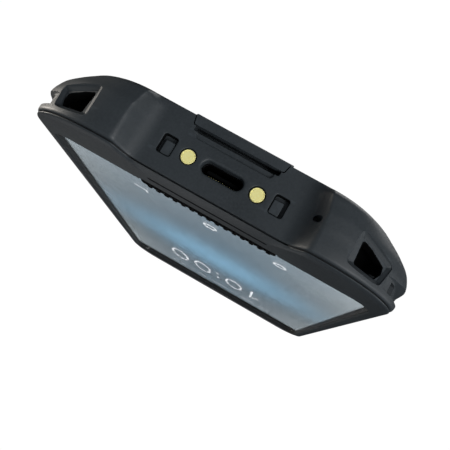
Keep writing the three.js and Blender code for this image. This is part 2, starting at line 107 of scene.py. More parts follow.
LIP_Y = (glass_low.y - GAP, glass_high.y + GAP)
LIP_R = 5
SKIRT_WALL = 1.0
SKIRT_Z = bezel_low.z
WELL_X = LIP_X + SKIRT_WALL + GAP
WELL_Y = (LIP_Y[0] - SKIRT_WALL - GAP, LIP_Y[1] + SKIRT_WALL + GAP)
WELL_R = LIP_R + SKIRT_WALL + GAP
DECK_Z = 8.9
WEB_Z = 7.9
FLOOR_Z = 2.4
LOWER_FLOOR_Z = 4.9
SCREEN_X = 37.7
SCREEN_Y = (-64.6, 69.6)
COVER_X = cover_high.x
COVER_Y = (-72, cover_high.y)
COVER_R = 9
COVER_TOP = 1.6
TAB_BACK = 10.7                        # the cover's tongue narrows towards its tip
TAB_TIP = 9.7
TAB_Z = cover_high.z
TAB_END_Y = -79.4
TAB_PROUD = 0.2                        # how far the tongue stands out of the back
BAY_X = 27
BAY_Y = (-60, 31)
WINDOW_Z = 9.4                         # lanyard windows in the bottom corners
WINDOW_HOLE = ((28.5, -2.1), (30.9, -1.5), (34.3, 0.0), (34.5, 1.5), (33.7, 3.1), (28.8, 2.9))
WINDOW_RIM = ((27.6, -3.6), (36.0, -0.9), (34.9, 3.9), (27.3, 3.5))
WINDOW_RIM_R = 0.8
WINDOW_RIM_LEVELS = ((-3, 0.9), (-0.2, 0.2), (-0.05, 0.09), (0.1, 0.0), (0.3, -0.08), (1.0, -0.75),
                     (1.15, -0.85))
WINDOW_HOLE_R = 0.5
WINDOW_HOLE_LEVELS = ((-1.5, -0.2), (1.05, 0.22), (1.15, 0.08), (1.3, 0.0), (5.2, 0.0))
WINDOW_ROOM_X = (28.2, 35.0)           # the room behind a window
WINDOW_ROOM_Z = (WINDOW_Z - 2.6, WINDOW_Z + 3.4)
WINDOW_ROOM_Y = (-79.2, -74.6)
STRAP_Z = (10.4, 12.9)                 # groove for the strap, from the corner along the side
STRAP_Y = (-80.0, -76.6, -71.0, -63.0)
STRAP_X = (35.8, 38.1, 39.7, 41.6)
STRAP_SLOT_X = (33, 41)
STRAP_SLOT_Y = -78.0
SOCKET_X = 12.1                        # dock sockets: half width, lowest and highest z
SOCKET = (1.53, PORT_Z - 2.15, PORT_Z + 2)
SOCKET_DEPTH = 1.6
PRY_Z = (2.9, 4.1)                     # finger-nail slot over the tongue
PRY_HALF = 9.3
SHELF_Z = (3.5, 5.25)                  # shallow step round that slot
SHELF_HALF = 8.4
PORT_HALF = (4.4, 1.4)
MICROPHONE = (-19.4, 8.3, 0.72)        # its hole: x, z and radius
INSIDE_Y = -78                         # the room behind the charging face starts here
EAR_HALF = 8
SCREW_HEAD_R = 1.9
KEY_NAMES = ("power_button", "right_function_key", "volume_up_button", "volume_down_button",
             "left_function_key")

# Height, how far the sides pull in, how far the ends pull in.
HOUSING_LEVELS = (
    (BACK_Z, 11.1, 7.7), (1.1, 7.9, 4.6), (2.0, 6.2, 2.0), (3.0, 4.7, 0.5), (4.7, 2.1, 0.3),
    (6.7, 0.4, 0), (8.7, 0, 0), (10.2, 0.3, 0.1), (12.2, 0.8, 0.15), (PARTING_Z, 1.5, 0.4),
)
BEZEL_LEVELS = ((BEZEL_Z, 1.75, 0.6), (15.2, 2.2, 1.2), (CREST_Z, 3.6, 2.5))
BROW = ((BEZEL_Z, 0.7), (15.1, 1.6), (15.35, 3.4), (CREST_Z, 5.4))   # how far the bezel leans back


# ---- curves ----
def smooth_curve(xs, ys, at):
    """Monotone cubic through the points (xs, ys), read at the places in at."""
    xs, ys, at = np.array(xs, float), np.array(ys, float), np.array(at, float)
    steps = np.diff(xs)
    slopes = np.diff(ys) / steps
    tangents = np.concatenate(([slopes[0]], np.zeros(len(xs) - 2), [slopes[-1]]))
    for i in range(1, len(xs) - 1):
        if slopes[i - 1] * slopes[i] > 0:
            before = 2 * steps[i] + steps[i - 1]
            after = steps[i] + 2 * steps[i - 1]
            tangents[i] = (before + after) / (before / slopes[i - 1] + after / slopes[i])
    k = np.clip(np.searchsorted(xs, at) - 1, 0, len(steps) - 1)
    t = (at - xs[k]) / steps[k]
    return (
        (2 * t**3 - 3 * t**2 + 1) * ys[k]
        + (t**3 - 2 * t**2 + t) * steps[k] * tangents[k]
        + (3 * t**2 - 2 * t**3) * ys[k + 1]
        + (t**3 - t**2) * steps[k] * tangents[k + 1]
    )


def inset_at(z, levels=HOUSING_LEVELS):
    """How far the sides and the ends of the hull pull in at a height."""
    zs = [level[0] for level in levels]
    return tuple(smooth_curve(zs, [level[i] for level in levels], z) for i in (1, 2))


def straight(start, end, steps):
    """Points from start up to, but without, end."""
    return [tuple(np.array(start) + (np.array(end) - start) * i / steps) for i in range(steps)]


def rounded_corner(before, corner, after, reach, steps):
    """Points of a corner rounded over a length of reach on both sides."""
    corner = np.array(corner, float)
    ends = []
    for other in (before, after):
        way = np.array(other, float) - corner
        length = np.linalg.norm(way)
        ends.append(corner + way * min(reach, 0.45 * length) / length)
    t = np.linspace(0, 1, steps + 1)[:, None]
    points = (1 - t) ** 2 * ends[0] + 2 * t * (1 - t) * corner + t**2 * ends[1]
    return [tuple(p) for p in points]


def quarter_angles(steps):
    """Angles from nought to a right angle."""
    return [math.pi / 2 * i / steps for i in range(steps + 1)]


def quarter(centre, rx, ry, first, steps):
    """Points of a quarter ellipse that starts at the angle first."""
    angles = [first + a for a in quarter_angles(steps)]
    return [(centre[0] + rx * math.cos(a), centre[1] + ry * math.sin(a)) for a in angles]


def bottom_corner(z):
    """Middle of the corner arcs of the charging end, at a height."""
    share = (z - CORNER_BACK[2]) / (CORNER_FRONT[2] - CORNER_BACK[2])
    return tuple(CORNER_BACK[i] + (CORNER_FRONT[i] - CORNER_BACK[i]) * share for i in (0, 1))


def hull_outline(z, side, end):
    """Plan outline of the hull: bumpers at its corners, and a recessed middle at both ends."""
    lean = 0.0
    if z >= BEZEL_Z:
        lean = float(smooth_curve([level[0] for level in BROW], [level[1] for level in BROW], z))
    wide = HALF_WIDTH - side
    low = -HALF_LENGTH + end
    top = HALF_LENGTH - min(end, MOST_TOP_INSET)
    corner = bottom_corner(z)
    low_face = max(CHARGE_FACE_Y + lean, low)
    top_face = min(TOP_FACE_Y, top)
    inner, outer = (CHARGE_HALF - RAMP_LEAN * lean, low_face), (CHARGE_HALF + RAMP_RUN, low)
    if corner[0] < outer[0] + LEAST_CORNER:
        outer = (corner[0] - LEAST_CORNER, low)
    top_outer, top_inner = (TOP_HALF + TOP_RUN, top), (TOP_HALF, top_face)
    inner_bend = rounded_corner((0, low_face), inner, outer, RAMP_BENDS[0], 8)
    outer_bend = rounded_corner(inner, outer, (corner[0], low), RAMP_BENDS[1], 5)
    top_outer_bend = rounded_corner((CORNER_TOP[0], top), top_outer, top_inner, TOP_BENDS[1], 4)
    top_inner_bend = rounded_corner(top_outer, top_inner, (0, top_face), TOP_BENDS[0], 4)
    right = straight((0, low_face), inner_bend[0], 6) + inner_bend + outer_bend
    right += quarter(corner, wide - corner[0], corner[1] - low, -math.pi / 2, 30)
    right += straight((wide, corner[1]), (wide, CORNER_TOP[1]), 12)[1:]
    right += quarter(CORNER_TOP, wide - CORNER_TOP[0], top - CORNER_TOP[1], 0, 16)
    right += top_outer_bend + top_inner_bend
    right += straight(top_inner_bend[-1], (0, top_face), 5)[1:] + [(0, top_face)]
    return right + [(-x, y) for x, y in reversed(right[1:-1])]


def end_surface(x, z):
    """Where the outer face of a bottom corner bumper lies, as y, at a place across and a height."""
    side, end = inset_at(z)
    corner = bottom_corner(z)
    share = max(0.0, abs(x) - corner[0]) / (HALF_WIDTH - side - corner[0])
    depth = HALF_LENGTH - end + corner[1]
    return float(corner[1] - depth * math.sqrt(max(0.0, 1 - share**2)))


# ---- outlines that can grow, for plates and cutters ----
def polygon(points, radius, steps=5):
    """A convex outline with rounded corners, as a function of how far it grows outwards."""
    points = [np.array(p, float) for p in points]
    count = len(points)
    area = sum(points[i][0] * points[(i + 1) % count][1] - points[(i + 1) % count][0] * points[i][1]
               for i in range(count))
    if area < 0:
        points.reverse()
    normals = []
    for i in range(count):
        way = points[(i + 1) % count] - points[i]
        normals.append(np.array([way[1], -way[0]]) / np.linalg.norm(way))

    def outline(grow=0.0):
        ring = []
        for i in range(count):
            first, second = normals[i - 1], normals[i]
            centre = points[i] - radius * (first + second) / (1 + first @ second)
            start = math.atan2(first[1], first[0])
            turn = (math.atan2(second[1], second[0]) - start) % (2 * math.pi)
            for k in range(steps + 1):
                angle = start + turn * k / steps
                way = np.array([math.cos(angle), math.sin(angle)])
                ring.append(tuple(centre + way * (radius + grow)))
        return ring

    return outline


def rectangle(u0, u1, v0, v1, radius, steps=5):
    """A rounded rectangle that can grow."""
    return polygon([(u0, v0), (u1, v0), (u1, v1), (u0, v1)], radius, steps)


def centred(half, v0, v1, radius, steps=5):
    """A rounded rectangle across the middle line."""
    return rectangle(-half, half, v0, v1, radius, steps)


def around(u, v, half_u, half_v, radius, steps=5):
    """A rounded rectangle round a middle point."""
    return rectangle(u - half_u, u + half_u, v - half_v, v + half_v, radius, steps)


def plan(low, high, radius, steps=5):
    """The plan of a box with rounded corners."""
    return rectangle(low.x, high.x, low.y, high.y, radius, steps)


def circle(u, v, radius, steps=32):
    """A circle that can grow."""
    def outline(grow=0.0):
        angles = [2 * math.pi * i / steps for i in range(steps)]
        return [(u + (radius + grow) * math.cos(a), v + (radius + grow) * math.sin(a)) for a in angles]

    return outline


# ---- meshes ----
def in_scene(name, data):
    """A new object of the data, linked to the scene."""
    thing = bpy.data.objects.new(name, data)
    bpy.context.scene.collection.objects.link(thing)
    return thing


def from_shape(name, shape):
    """A new mesh object from a bmesh, which is freed."""
    mesh = bpy.data.meshes.new(name)
    shape.to_mesh(mesh)
    shape.free()
    return in_scene(name, mesh)


def build(name, rings, closed_ends=True):
    """A mesh object from rings of points in millimetres, joined in order, with its ends capped."""
    shape = bmesh.new()
    rows = [[shape.verts.new([c * MM for c in p]) for p in ring] for ring in rings]
    count = len(rows[0])
    for row, above in zip(rows, rows[1:] + ([] if closed_ends else rows[:1])):
        for i in range(count):
            j = (i + 1) % count
            shape.faces.new((row[i], row[j], above[j], above[i]))
    if closed_ends:
        shape.faces.new(list(reversed(rows[0])))
        shape.faces.new(rows[-1])
    bmesh.ops.recalc_face_normals(shape, faces=shape.faces)
    return from_shape(name, shape)


def prism(outline, levels, axis="z", warp=None, name="cutter", closed_ends=True):
    """A solid whose section along an axis is the outline, grown as each (place, grow) level says.

    Without closed ends it is a band, which runs on from its last level to its first."""
    rings = []
    for place, grow in levels:
        ring = []
        for u, v in outline(grow):
            at = place + (warp(u, v) if warp else 0)
            ring.append({"x": (at, u, v), "y": (u, at, v), "z": (u, v, at)}[axis])
        rings.append(ring)
    return build(name, rings, closed_ends)


def plain(low, high, grow=0):
    """Levels of a straight solid between two places."""
    return [(low, grow), (high, grow)]


MOUTH_DRAFT = 0.05                     # how much wider a mouth's cutter gets on its way out


def mouth(face, way, depth, radius=0.3, floor=0.0, outside=6.0, steps=4):
    """Levels of a hole that starts at face and goes way (1 or -1), with a rounded mouth and floor."""
    levels = [(face - way * outside, radius + MOUTH_DRAFT * outside)]
    levels += [(face + way * radius * (1 - math.cos(a)), radius * (1 - math.sin(a)))
               for a in quarter_angles(steps)]
    if not floor:
        return levels + [(face + way * depth, 0)]
    return levels + [(face + way * (depth - floor * (1 - math.sin(a))), -floor * (1 - math.cos(a)))
                     for a in quarter_angles(steps)]


def soft_slab(low, high, edge_low=0.3, edge_high=0.3, steps=4):
    """Levels of a plate between two places, with rounded edges."""
    turns = quarter_angles(steps)
    below, above = [(low, 0)], [(high, 0)]
    if edge_low:
        below = [(low + edge_low * (1 - math.cos(a)), -edge_low * (1 - math.sin(a))) for a in turns]
    if edge_high:
        above = [(high - edge_high * (1 - math.sin(a)), -edge_high * (1 - math.cos(a))) for a in turns]
    return below + above


def block(x0, x1, y0, y1, z0, z1, radius):
    """A plain inner cutter: a rounded rectangle run along Z."""
    return prism(rectangle(x0, x1, y0, y1, radius, 3), plain(z0, z1))


def across(side, near, far):
    """Two distances from the middle line as a low and a high x on one side."""
    return (near, far) if side > 0 else (-far, -near)


def lathe(name, profile, centre, axis="z", steps=48):
    """A turned solid: (radius, place) points from the axis out and back to it, round a centre."""
    u, v = centre
    rings = [circle(u, v, max(r, 1e-3), steps)() for r, _ in profile]
    placed = []
    for (_, place), ring in zip(profile, rings):
        placed.append([{"z": (a, b, place), "y": (a, place, b)}[axis] for a, b in ring])
    return build(name, placed)


def carve(piece, cutters, operation="DIFFERENCE"):
    """Cuts the cutters out of the piece, or joins them to it, and removes them."""
    for cutter in cutters:
        step = piece.modifiers.new("carve", "BOOLEAN")
        step.operation = operation
        step.object = cutter
        step.solver = "MANIFOLD"
    bpy.context.view_layer.update()
    graph = bpy.context.evaluated_depsgraph_get()
    mesh = bpy.data.meshes.new_from_object(piece.evaluated_get(graph))
    piece.modifiers.clear()
    piece.data = mesh
    for cutter in cutters:
        bpy.data.objects.remove(cutter)
    return piece


def merge(name, parts):
    """One object from several that do not touch."""
    shape = bmesh.new()
    for part in parts:
        shape.from_mesh(part.data)
        bpy.data.objects.remove(part)
    return from_shape(name, shape)


def finish_piece(piece, name, material, body=BODY, stands_for=(), sharp=32):
    """Names the piece, shades it smooth between its sharp edges, and fixes it to its body."""
    piece.name = name
    piece.data.name = name
    piece.data.materials.clear()
    piece.data.materials.append(material)
    piece.data.polygons.foreach_set("use_smooth", [True] * len(piece.data.polygons))
    piece.data.set_sharp_from_angle(angle=math.radians(sharp))
    normals = piece.modifiers.new("even_normals", "WEIGHTED_NORMAL")
    normals.keep_sharp = True
    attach(piece, body)
    if stands_for:
        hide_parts(*stands_for)
    return piece


# ---- material kit ----
def shader_for(name, colour, roughness, metallic=0.0, level=0.5):
    """A material with one Principled shader, and its node tree."""
    material = bpy.data.materials.new(name)
    material.use_nodes = True
    tree = material.node_tree
    shader = tree.nodes["Principled BSDF"]
    shader.inputs["Base Color"].default_value = (*colour, 1)
    shader.inputs["Roughness"].default_value = roughness
    shader.inputs["Metallic"].default_value = metallic
    shader.inputs["Specular IOR Level"].default_value = level
    return material, tree, shader


def place_node(tree):
    """Object coordinates, in metres."""
    return tree.nodes.new("ShaderNodeTexCoord").outputs["Object"]


def coordinates(tree):
    """X, Y and Z of the object coordinates."""
    parts = tree.nodes.new("ShaderNodeSeparateXYZ")
    tree.links.new(place_node(tree), parts.inputs[0])
    return parts.outputs


def noise(tree, size_mm, detail=3.0, stretch=None):
    """Noise with features about size_mm across, from 0 to 1."""
    node = tree.nodes.new("ShaderNodeTexNoise")
    node.inputs["Scale"].default_value = 1 / (size_mm * MM)
    node.inputs["Detail"].default_value = detail
    where = place_node(tree)
    if stretch:
        mapping = tree.nodes.new("ShaderNodeMapping")
        mapping.inputs["Scale"].default_value = stretch
        tree.links.new(where, mapping.inputs["Vector"])
        where = mapping.outputs["Vector"]
    tree.links.new(where, node.inputs["Vector"])
    return node.outputs["Fac"]


def remap(tree, value, low, high, to_low, to_high):
    """The value, taken from one range to another and kept inside it."""
    node = tree.nodes.new("ShaderNodeMapRange")
    numbers = {"From Min": low, "From Max": high, "To Min": to_low, "To Max": to_high}
    for socket, number in numbers.items():
        node.inputs[socket].default_value = number
    tree.links.new(value, node.inputs["Value"])
    return node.outputs["Result"]


def spread(tree, size_mm, detail, low, high, to_low, to_high):
    """Noise, taken from one range to another and kept inside it."""
    return remap(tree, noise(tree, size_mm, detail), low, high, to_low, to_high)


def feed(shader, name, value):
    """Links a value to one of the shader's inputs."""
    shader.id_data.links.new(value, shader.inputs[name])


def mix_colours(tree, share, first, second):
    """A colour between two, each a plain colour or a socket."""
    node = tree.nodes.new("ShaderNodeMix")
    node.data_type = "RGBA"
    sockets = [s for s in node.inputs if s.type == "RGBA"]
    for socket, colour in zip(sockets, (first, second)):
        if isinstance(colour, tuple):
            socket.default_value = (*colour, 1)
        else:
            tree.links.new(colour, socket)
    tree.links.new(share, node.inputs["Factor"])
    return next(s for s in node.outputs if s.type == "RGBA")


def calc(tree, operation, first, second):
    """A sum, product or the like of two numbers, each plain or a socket."""
    node = tree.nodes.new("ShaderNodeMath")
    node.operation = operation
    for socket, value in zip(node.inputs, (first, second)):
        if isinstance(value, (int, float)):
            socket.default_value = value
        else:
            tree.links.new(value, socket)
    return node.outputs["Value"]


def bump(tree, shader, height, height_mm, strength=1.0):
    """Raises the surface by height, over height_mm."""
    node = tree.nodes.new("ShaderNodeBump")
    node.inputs["Strength"].default_value = strength
    node.inputs["Distance"].default_value = height_mm * MM
    tree.links.new(height, node.inputs["Height"])
    feed(shader, "Normal", node.outputs["Normal"])


def shade(colour, share):
    """The colour, lighter or darker."""
    return tuple(min(1.0, c * share) for c in colour)


def moulded_plastic(name, colour, roughness, grain_mm=0.28, grain_height=0.02, wear=0.35, level=0.4):
    """Spark-eroded moulded plastic: fine grain, faint cloudy tone, and edges rubbed a little lighter."""
    material, tree, shader = shader_for(name, colour, roughness, level=level)
    clouds = noise(tree, 14, 4)
    specks = noise(tree, grain_mm * 1.6, 2)
    tone = remap(tree, clouds, 0.3, 0.7, 0, 1)
    base = mix_colours(tree, tone, shade(colour, 0.86), shade(colour, 1.14))
    base = mix_colours(tree, remap(tree, specks, 0.35, 0.75, 0, 0.3), base, shade(colour, 1.7))
    edges = tree.nodes.new("ShaderNodeNewGeometry").outputs["Pointiness"]
    rubbed = calc(tree, "MULTIPLY", remap(tree, edges, 0.52, 0.6, 0, wear),
                  spread(tree, 1.8, 5, 0.35, 0.65, 0.2, 1))
    base = mix_colours(tree, rubbed, base, shade(colour, 2.4))
    feed(shader, "Base Color", base)
    uneven = calc(tree, "ADD", remap(tree, clouds, 0.3, 0.7, -0.05, 0.05),
                  remap(tree, specks, 0.3, 0.7, roughness - 0.04, roughness + 0.06))
    feed(shader, "Roughness", uneven)
    bump(tree, shader, noise(tree, grain_mm, 3), grain_height)
    return material


def textured(name, colour, roughness, tone, rough=None, relief=None, metallic=0.0, level=0.5):
    """A material whose colour, roughness and relief each follow a noise of their own.

    tone and rough hold what spread takes; tone goes on with the two colours that it mixes, and relief
    holds a noise's size and detail and the height in millimetres."""
    material, tree, shader = shader_for(name, colour, roughness, metallic, level)
    feed(shader, "Base Color", mix_colours(tree, spread(tree, *tone[:6]), *tone[6:]))
    if rough:
        feed(shader, "Roughness", spread(tree, *rough))
    if relief:
        bump(tree, shader, noise(tree, *relief[:2]), relief[2])
    return material, shader


def soft_rubber(name, colour):
    """Matt moulded rubber with dust in its texture."""
    dust = (0.5, 5, 0.5, 0.8, 0, 0.35, colour, shade(colour, 2.2))
    material, shader = textured(name, colour, 0.82, dust, (6, 3, 0.3, 0.7, 0.74, 0.9),
                                (0.2, 2, 0.02), level=0.25)
    shader.inputs["Sheen Weight"].default_value = 0.08
    return material


def worked_metal(name, colour, roughness, brushed=(1, 1, 1), size_mm=0.6):
    """Bare metal with tool marks or tarnish."""
    material, tree, shader = shader_for(name, colour, roughness, metallic=1.0)
    marks = noise(tree, size_mm, 4, stretch=brushed)
    stain = spread(tree, 2.5, 4, 0.35, 0.7, 0, 0.35)
    feed(shader, "Base Color", mix_colours(tree, stain, colour, shade(colour, 0.72)))
    feed(shader, "Roughness", remap(tree, marks, 0.3, 0.7, roughness - 0.08, roughness + 0.1))
    bump(tree, shader, marks, 0.006)
    return material


def plated_gold(name):
    """Bright satin gold plate, paler where it is rubbed."""
    rubbed = (0.35, 4, 0.35, 0.7, 0, 1, (0.98, 0.87, 0.33), (1.0, 0.96, 0.44))
    return textured(name, (0.98, 0.90, 0.38), 0.38, rubbed, (0.2, 3, 0.3, 0.7, 0.28, 0.42),
                    (0.15, 2, 0.004), metallic=0.05)[0]


def pattern_board(name, colour, track):
    """Circuit board: solder mask over a grid of tracks, with bare specks of solder."""
    material, tree, shader = shader_for(name, colour, 0.4)
    bricks = tree.nodes.new("ShaderNodeTexBrick")
    bricks.inputs["Scale"].default_value = 1 / (6 * MM)
    bricks.inputs["Mortar Size"].default_value = 0.03
    bricks.inputs["Color1"].default_value = (*colour, 1)
    bricks.inputs["Color2"].default_value = (*shade(colour, 0.8), 1)
    bricks.inputs["Mortar"].default_value = (*track, 1)
    tree.links.new(place_node(tree), bricks.inputs["Vector"])
    solder = spread(tree, 0.9, 1, 0.68, 0.72, 0, 0.8)
    feed(shader, "Base Color", mix_colours(tree, solder, bricks.outputs["Color"], (0.5, 0.5, 0.48)))
    feed(shader, "Roughness", spread(tree, 3, 3, 0.3, 0.7, 0.3, 0.5))
    bump(tree, shader, bricks.outputs["Fac"], 0.03)
    return material


def woven_mesh(name, colour):
    """Fine acoustic mesh: two crossed rows of wires."""
    material, tree, shader = shader_for(name, colour, 0.6)
    heights = []
    for direction in ("X", "Y"):
        wave = tree.nodes.new("ShaderNodeTexWave")
        wave.bands_direction = direction
        wave.inputs["Scale"].default_value = 0.31 / (0.25 * MM)
        tree.links.new(place_node(tree), wave.inputs["Vector"])
        heights.append(wave.outputs["Fac"])
    wires = calc(tree, "MAXIMUM", *heights)
    feed(shader, "Base Color", mix_colours(tree, wires, shade(colour, 0.3), shade(colour, 1.5)))
    bump(tree, shader, wires, 0.06)
    return material


def clear_glass(name):
    """Hard cover glass with faint smears."""
    smears = (12, 3, 0.4, 0.8, 0, 1, (1, 1, 1), (0.97, 0.985, 1))
    material, shader = textured(name, (1, 1, 1), 0.0, smears)
    shader.inputs["Transmission Weight"].default_value = 1.0
    shader.inputs["IOR"].default_value = 1.45
    return material


def lamp_plastic(name):
    """Pale clouded plastic of the lamp."""
    clouds = (0.8, 2, 0, 1, 0, 1, (0.8, 0.74, 0.5), (0.9, 0.88, 0.8))
    return textured(name, (0.85, 0.82, 0.7), 0.25, clouds)[0]


def black_print(name):
    """Black ink printed under the glass."""
    tone = (0.4, 2, 0.3, 0.7, 0, 1, (0.003, 0.004, 0.005), (0.006, 0.007, 0.009))
    return textured(name, (0.004, 0.005, 0.007), 0.35, tone, level=0.1)[0]


GLOW_HALF = (33.0, 21.0)
GLOW_Y = -2.0
SCREEN_MIDDLE = (0.28, 0.38, 0.46)
SCREEN_EDGE = (0.58, 0.66, 0.70)
SCREEN_WARM = (0.40, 0.45, 0.49)
SCREEN_GLOW = (0.55, 1.02, 1.42)
GLOW_BASE = 2.718
BRIGHT_NEAR = (-0.064, -0.03, 1.3, 1.0)     # a range of y in metres, and brightness at its two ends
BRIGHT_FAR = (0.02, 0.068, 1.0, 1.8)


def lit_picture(name):
    """The picture of the lock screen: grey-blue, lighter at its corners, with one soft blue band."""
    material, tree, shader = shader_for(name, (0.02, 0.02, 0.02), 0.5, level=0.1)
    across_x, along_y, _ = coordinates(tree)
    x = calc(tree, "MULTIPLY", across_x, 1 / (GLOW_HALF[0] * MM))
    y = calc(tree, "MULTIPLY", calc(tree, "SUBTRACT", along_y, GLOW_Y * MM), 1 / (GLOW_HALF[1] * MM))
    far = calc(tree, "ADD", calc(tree, "MULTIPLY", x, x), calc(tree, "MULTIPLY", y, y))
    glow = calc(tree, "POWER", GLOW_BASE, calc(tree, "MULTIPLY", far, -1))
    corner = calc(tree, "MULTIPLY", across_x, 1 / (SCREEN_X * MM))
    corner = calc(tree, "MULTIPLY", corner, corner)
    ground = mix_colours(tree, corner, SCREEN_MIDDLE, SCREEN_EDGE)
    mottled = spread(tree, 22, 2, 0.35, 0.65, 0, 0.35)
    ground = mix_colours(tree, mottled, ground, SCREEN_WARM)
    picture = mix_colours(tree, glow, ground, SCREEN_GLOW)
    feed(shader, "Emission Color", picture)
    near, far_end = (remap(tree, along_y, *ramp) for ramp in (BRIGHT_NEAR, BRIGHT_FAR))
    feed(shader, "Emission Strength", calc(tree, "MULTIPLY", near, far_end))
    return material


def lit_mark(name, strength):
    """Lit white marks of the picture, slightly uneven."""
    material, tree, shader = shader_for(name, (0.02, 0.02, 0.02), 0.5, level=0.1)
    spots = spread(tree, 0.3, 1, 0.3, 0.7, 0, 1)
    feed(shader, "Emission Color", mix_colours(tree, spots, (0.8, 0.88, 0.95), (1, 1, 1)))
    shader.inputs["Emission Strength"].default_value = strength
    return material


SHELL_COLOUR = (0.0245, 0.030, 0.0345)
shell = moulded_plastic("shell_plastic", SHELL_COLOUR, 0.5)
bezel_plastic = moulded_plastic("bezel_plastic", shade(SHELL_COLOUR, 0.95), 0.48)
cover_plastic = moulded_plastic("cover_plastic", shade(SHELL_COLOUR, 1.02), 0.52, grain_mm=0.32)
black_plastic = moulded_plastic("black_plastic", (0.012, 0.013, 0.014), 0.55, wear=0.1)
# Near-black plastic of the speaker comb and the port's tongue; also the painted shade of the dark
# linings in sockets and windows and of the strip in the bezel.
speaker_plastic_and_painted_shade = moulded_plastic("speaker_plastic_and_painted_shade", (0.003, 0.0033, 0.0036), 0.85,
                                  wear=0.02, level=0.05)
# Dark rubber of the gaskets and seals; also the painted shade of the black strip on the lip round the
# glass.
joint_rubber_and_painted_shade = soft_rubber("joint_rubber_and_painted_shade", (0.010, 0.011, 0.012))
key_rubber = soft_rubber("key_rubber", (0.022, 0.025, 0.028))
gold = plated_gold("contact_gold")
steel = worked_metal("plain_steel", (0.58, 0.59, 0.6), 0.34, brushed=(1, 8, 1))
# Near-black steel for the port's shell: painted shade, standing for the shadow inside the port.
port_steel_painted_shade = worked_metal("port_steel_painted_shade", (0.008, 0.008, 0.009), 0.55)
black_steel = worked_metal("blackened_steel", (0.09, 0.09, 0.095), 0.42)
alloy = worked_metal("cast_alloy", (0.5, 0.51, 0.52), 0.5, size_mm=1.4)
board = pattern_board("circuit_board", (0.01, 0.11, 0.05), (0.02, 0.2, 0.09))
flex = pattern_board("amber_flex", (0.32, 0.13, 0.02), (0.5, 0.24, 0.05))
mesh_cloth = woven_mesh("acoustic_mesh", (0.02, 0.022, 0.024))
glass = clear_glass("cover_glass_clear")
ink = black_print("border_ink")
picture = lit_picture("screen_picture_light")
white_marks = lit_mark("screen_mark_light", 3.0)
faint_marks = lit_mark("screen_faint_light", 2.0)


# ---- rear housing ----
EDGE_STEPS = 5


def hull(levels, edge_low, edge_high, count):
    """The outer form between the first and last level, with its lower or upper edge rounded."""
    low, high = levels[0][0], levels[-1][0]
    share = np.linspace(0, 1, count) ** 1.4
    heights = low + edge_low + (high - edge_high - low - edge_low) * share
    pulls = np.zeros(count)
    angles = np.linspace(0, math.pi / 2, EDGE_STEPS + 1)[1:]
    for edge, end, way in ((edge_low, low, 1), (edge_high, high, -1)):
        if not edge:
            continue
        places = end + way * edge * (1 - np.sin(angles))
        pull = edge * (1 - np.cos(angles))
        if way > 0:
            heights, pulls = np.concatenate((places[::-1], heights)), np.concatenate((pull[::-1], pulls))
        else:
            heights, pulls = np.concatenate((heights, places)), np.concatenate((pulls, pull))
    sides, ends = inset_at(heights, levels)
    rows = zip(heights, sides + pulls, ends + pulls)
    return build("hull", [[(x, y, z) for x, y in hull_outline(z, s, e)] for z, s, e in rows])


def side_surface(z):
    """How far out the straight sides of the housing are at a height."""
    return HALF_WIDTH - float(inset_at(z)[0])


def window_cut(points, radius, levels, side):
    """A solid that follows the curved end. Its outline is given round the middle of the window.

    Its faces are split into flat triangles, so that later cuts leave them as they are."""
    outline = polygon([(side * u, WINDOW_Z + v) for u, v in points], radius)
    piece = prism(outline, levels, "y", end_surface)
    piece.modifiers.new("flat", "TRIANGULATE")
    return piece


def window_room(side, levels, less=0.0):
    """The space behind a window, or a solid like it that is a little less wide."""
    near, far = WINDOW_ROOM_X
    outline = rectangle(*across(side, near + less, far - less), *WINDOW_ROOM_Z, 0.8)
    return prism(outline, levels, "y")


def window_cutters(side):
    """A lanyard window: a sloping recess in the bumper, the hole in its floor, and the room behind."""
    return [window_cut(WINDOW_RIM, WINDOW_RIM_R, WINDOW_RIM_LEVELS, side),
            window_cut(WINDOW_HOLE, WINDOW_HOLE_R, WINDOW_HOLE_LEVELS, side),
            window_room(side, plain(*WINDOW_ROOM_Y))]


def window_shade_lining(side):
    """A near-black lining of a window's hole and of the room behind it, open to the strap's slot:
    painted shade, standing for the shadow inside them.
    """
    sleeve = window_cut(WINDOW_HOLE, WINDOW_HOLE_R, plain(1.5, 5.0, -0.02), side)
    bore = window_cut(WINDOW_HOLE, WINDOW_HOLE_R, plain(-1.5, 8, -0.16), side)
    front, back = WINDOW_ROOM_Y
    cup = window_room(side, plain(front + 0.2, back - 0.1, -0.1), 0.1)
    hollow = window_room(side, plain(BEYOND_Y, back - 0.5, -0.4), 0.1)
    return merge("liner", [carve(cup, [hollow, strap_slot(side)]), carve(sleeve, [bore])])


def strap_slot(side):
    """The slot through which the strap leaves the room behind a window."""
    return prism(rectangle(*across(side, *STRAP_SLOT_X), STRAP_SLOT_Y, WINDOW_ROOM_Y[1], 0.6),
                 plain(STRAP_Z[0] + 0.2, STRAP_Z[1] - 0.1))


def strap_groove(side):
    """The groove in which the strap runs out along the side, and the slot that it comes out of."""
    ys = np.linspace(STRAP_Y[0], STRAP_Y[-1], 14)
    xs = smooth_curve(STRAP_Y, STRAP_X, ys)
    beyond = HALF_WIDTH + 6
    low, high = STRAP_Z
    rings = []
    for z, shift in ((low - 1.2, 1.8), (low - 0.3, 0.4), (low - 0.1, 0.1), (low + 0.1, 0),
                     (high - 0.2, 0), (high - 0.05, 0.08), (high + 0.1, 0.3), (high + 0.4, 1.5)):
        ring = [(side * (x + shift), y, z) for x, y in zip(xs, ys)]
        outside = ((beyond, ys[-1]), (beyond, BEYOND_Y), (xs[0] + shift, BEYOND_Y))
        ring += [(side * x, y, z) for x, y in outside]
        rings.append(ring)
    return [build("groove", rings), strap_slot(side)]


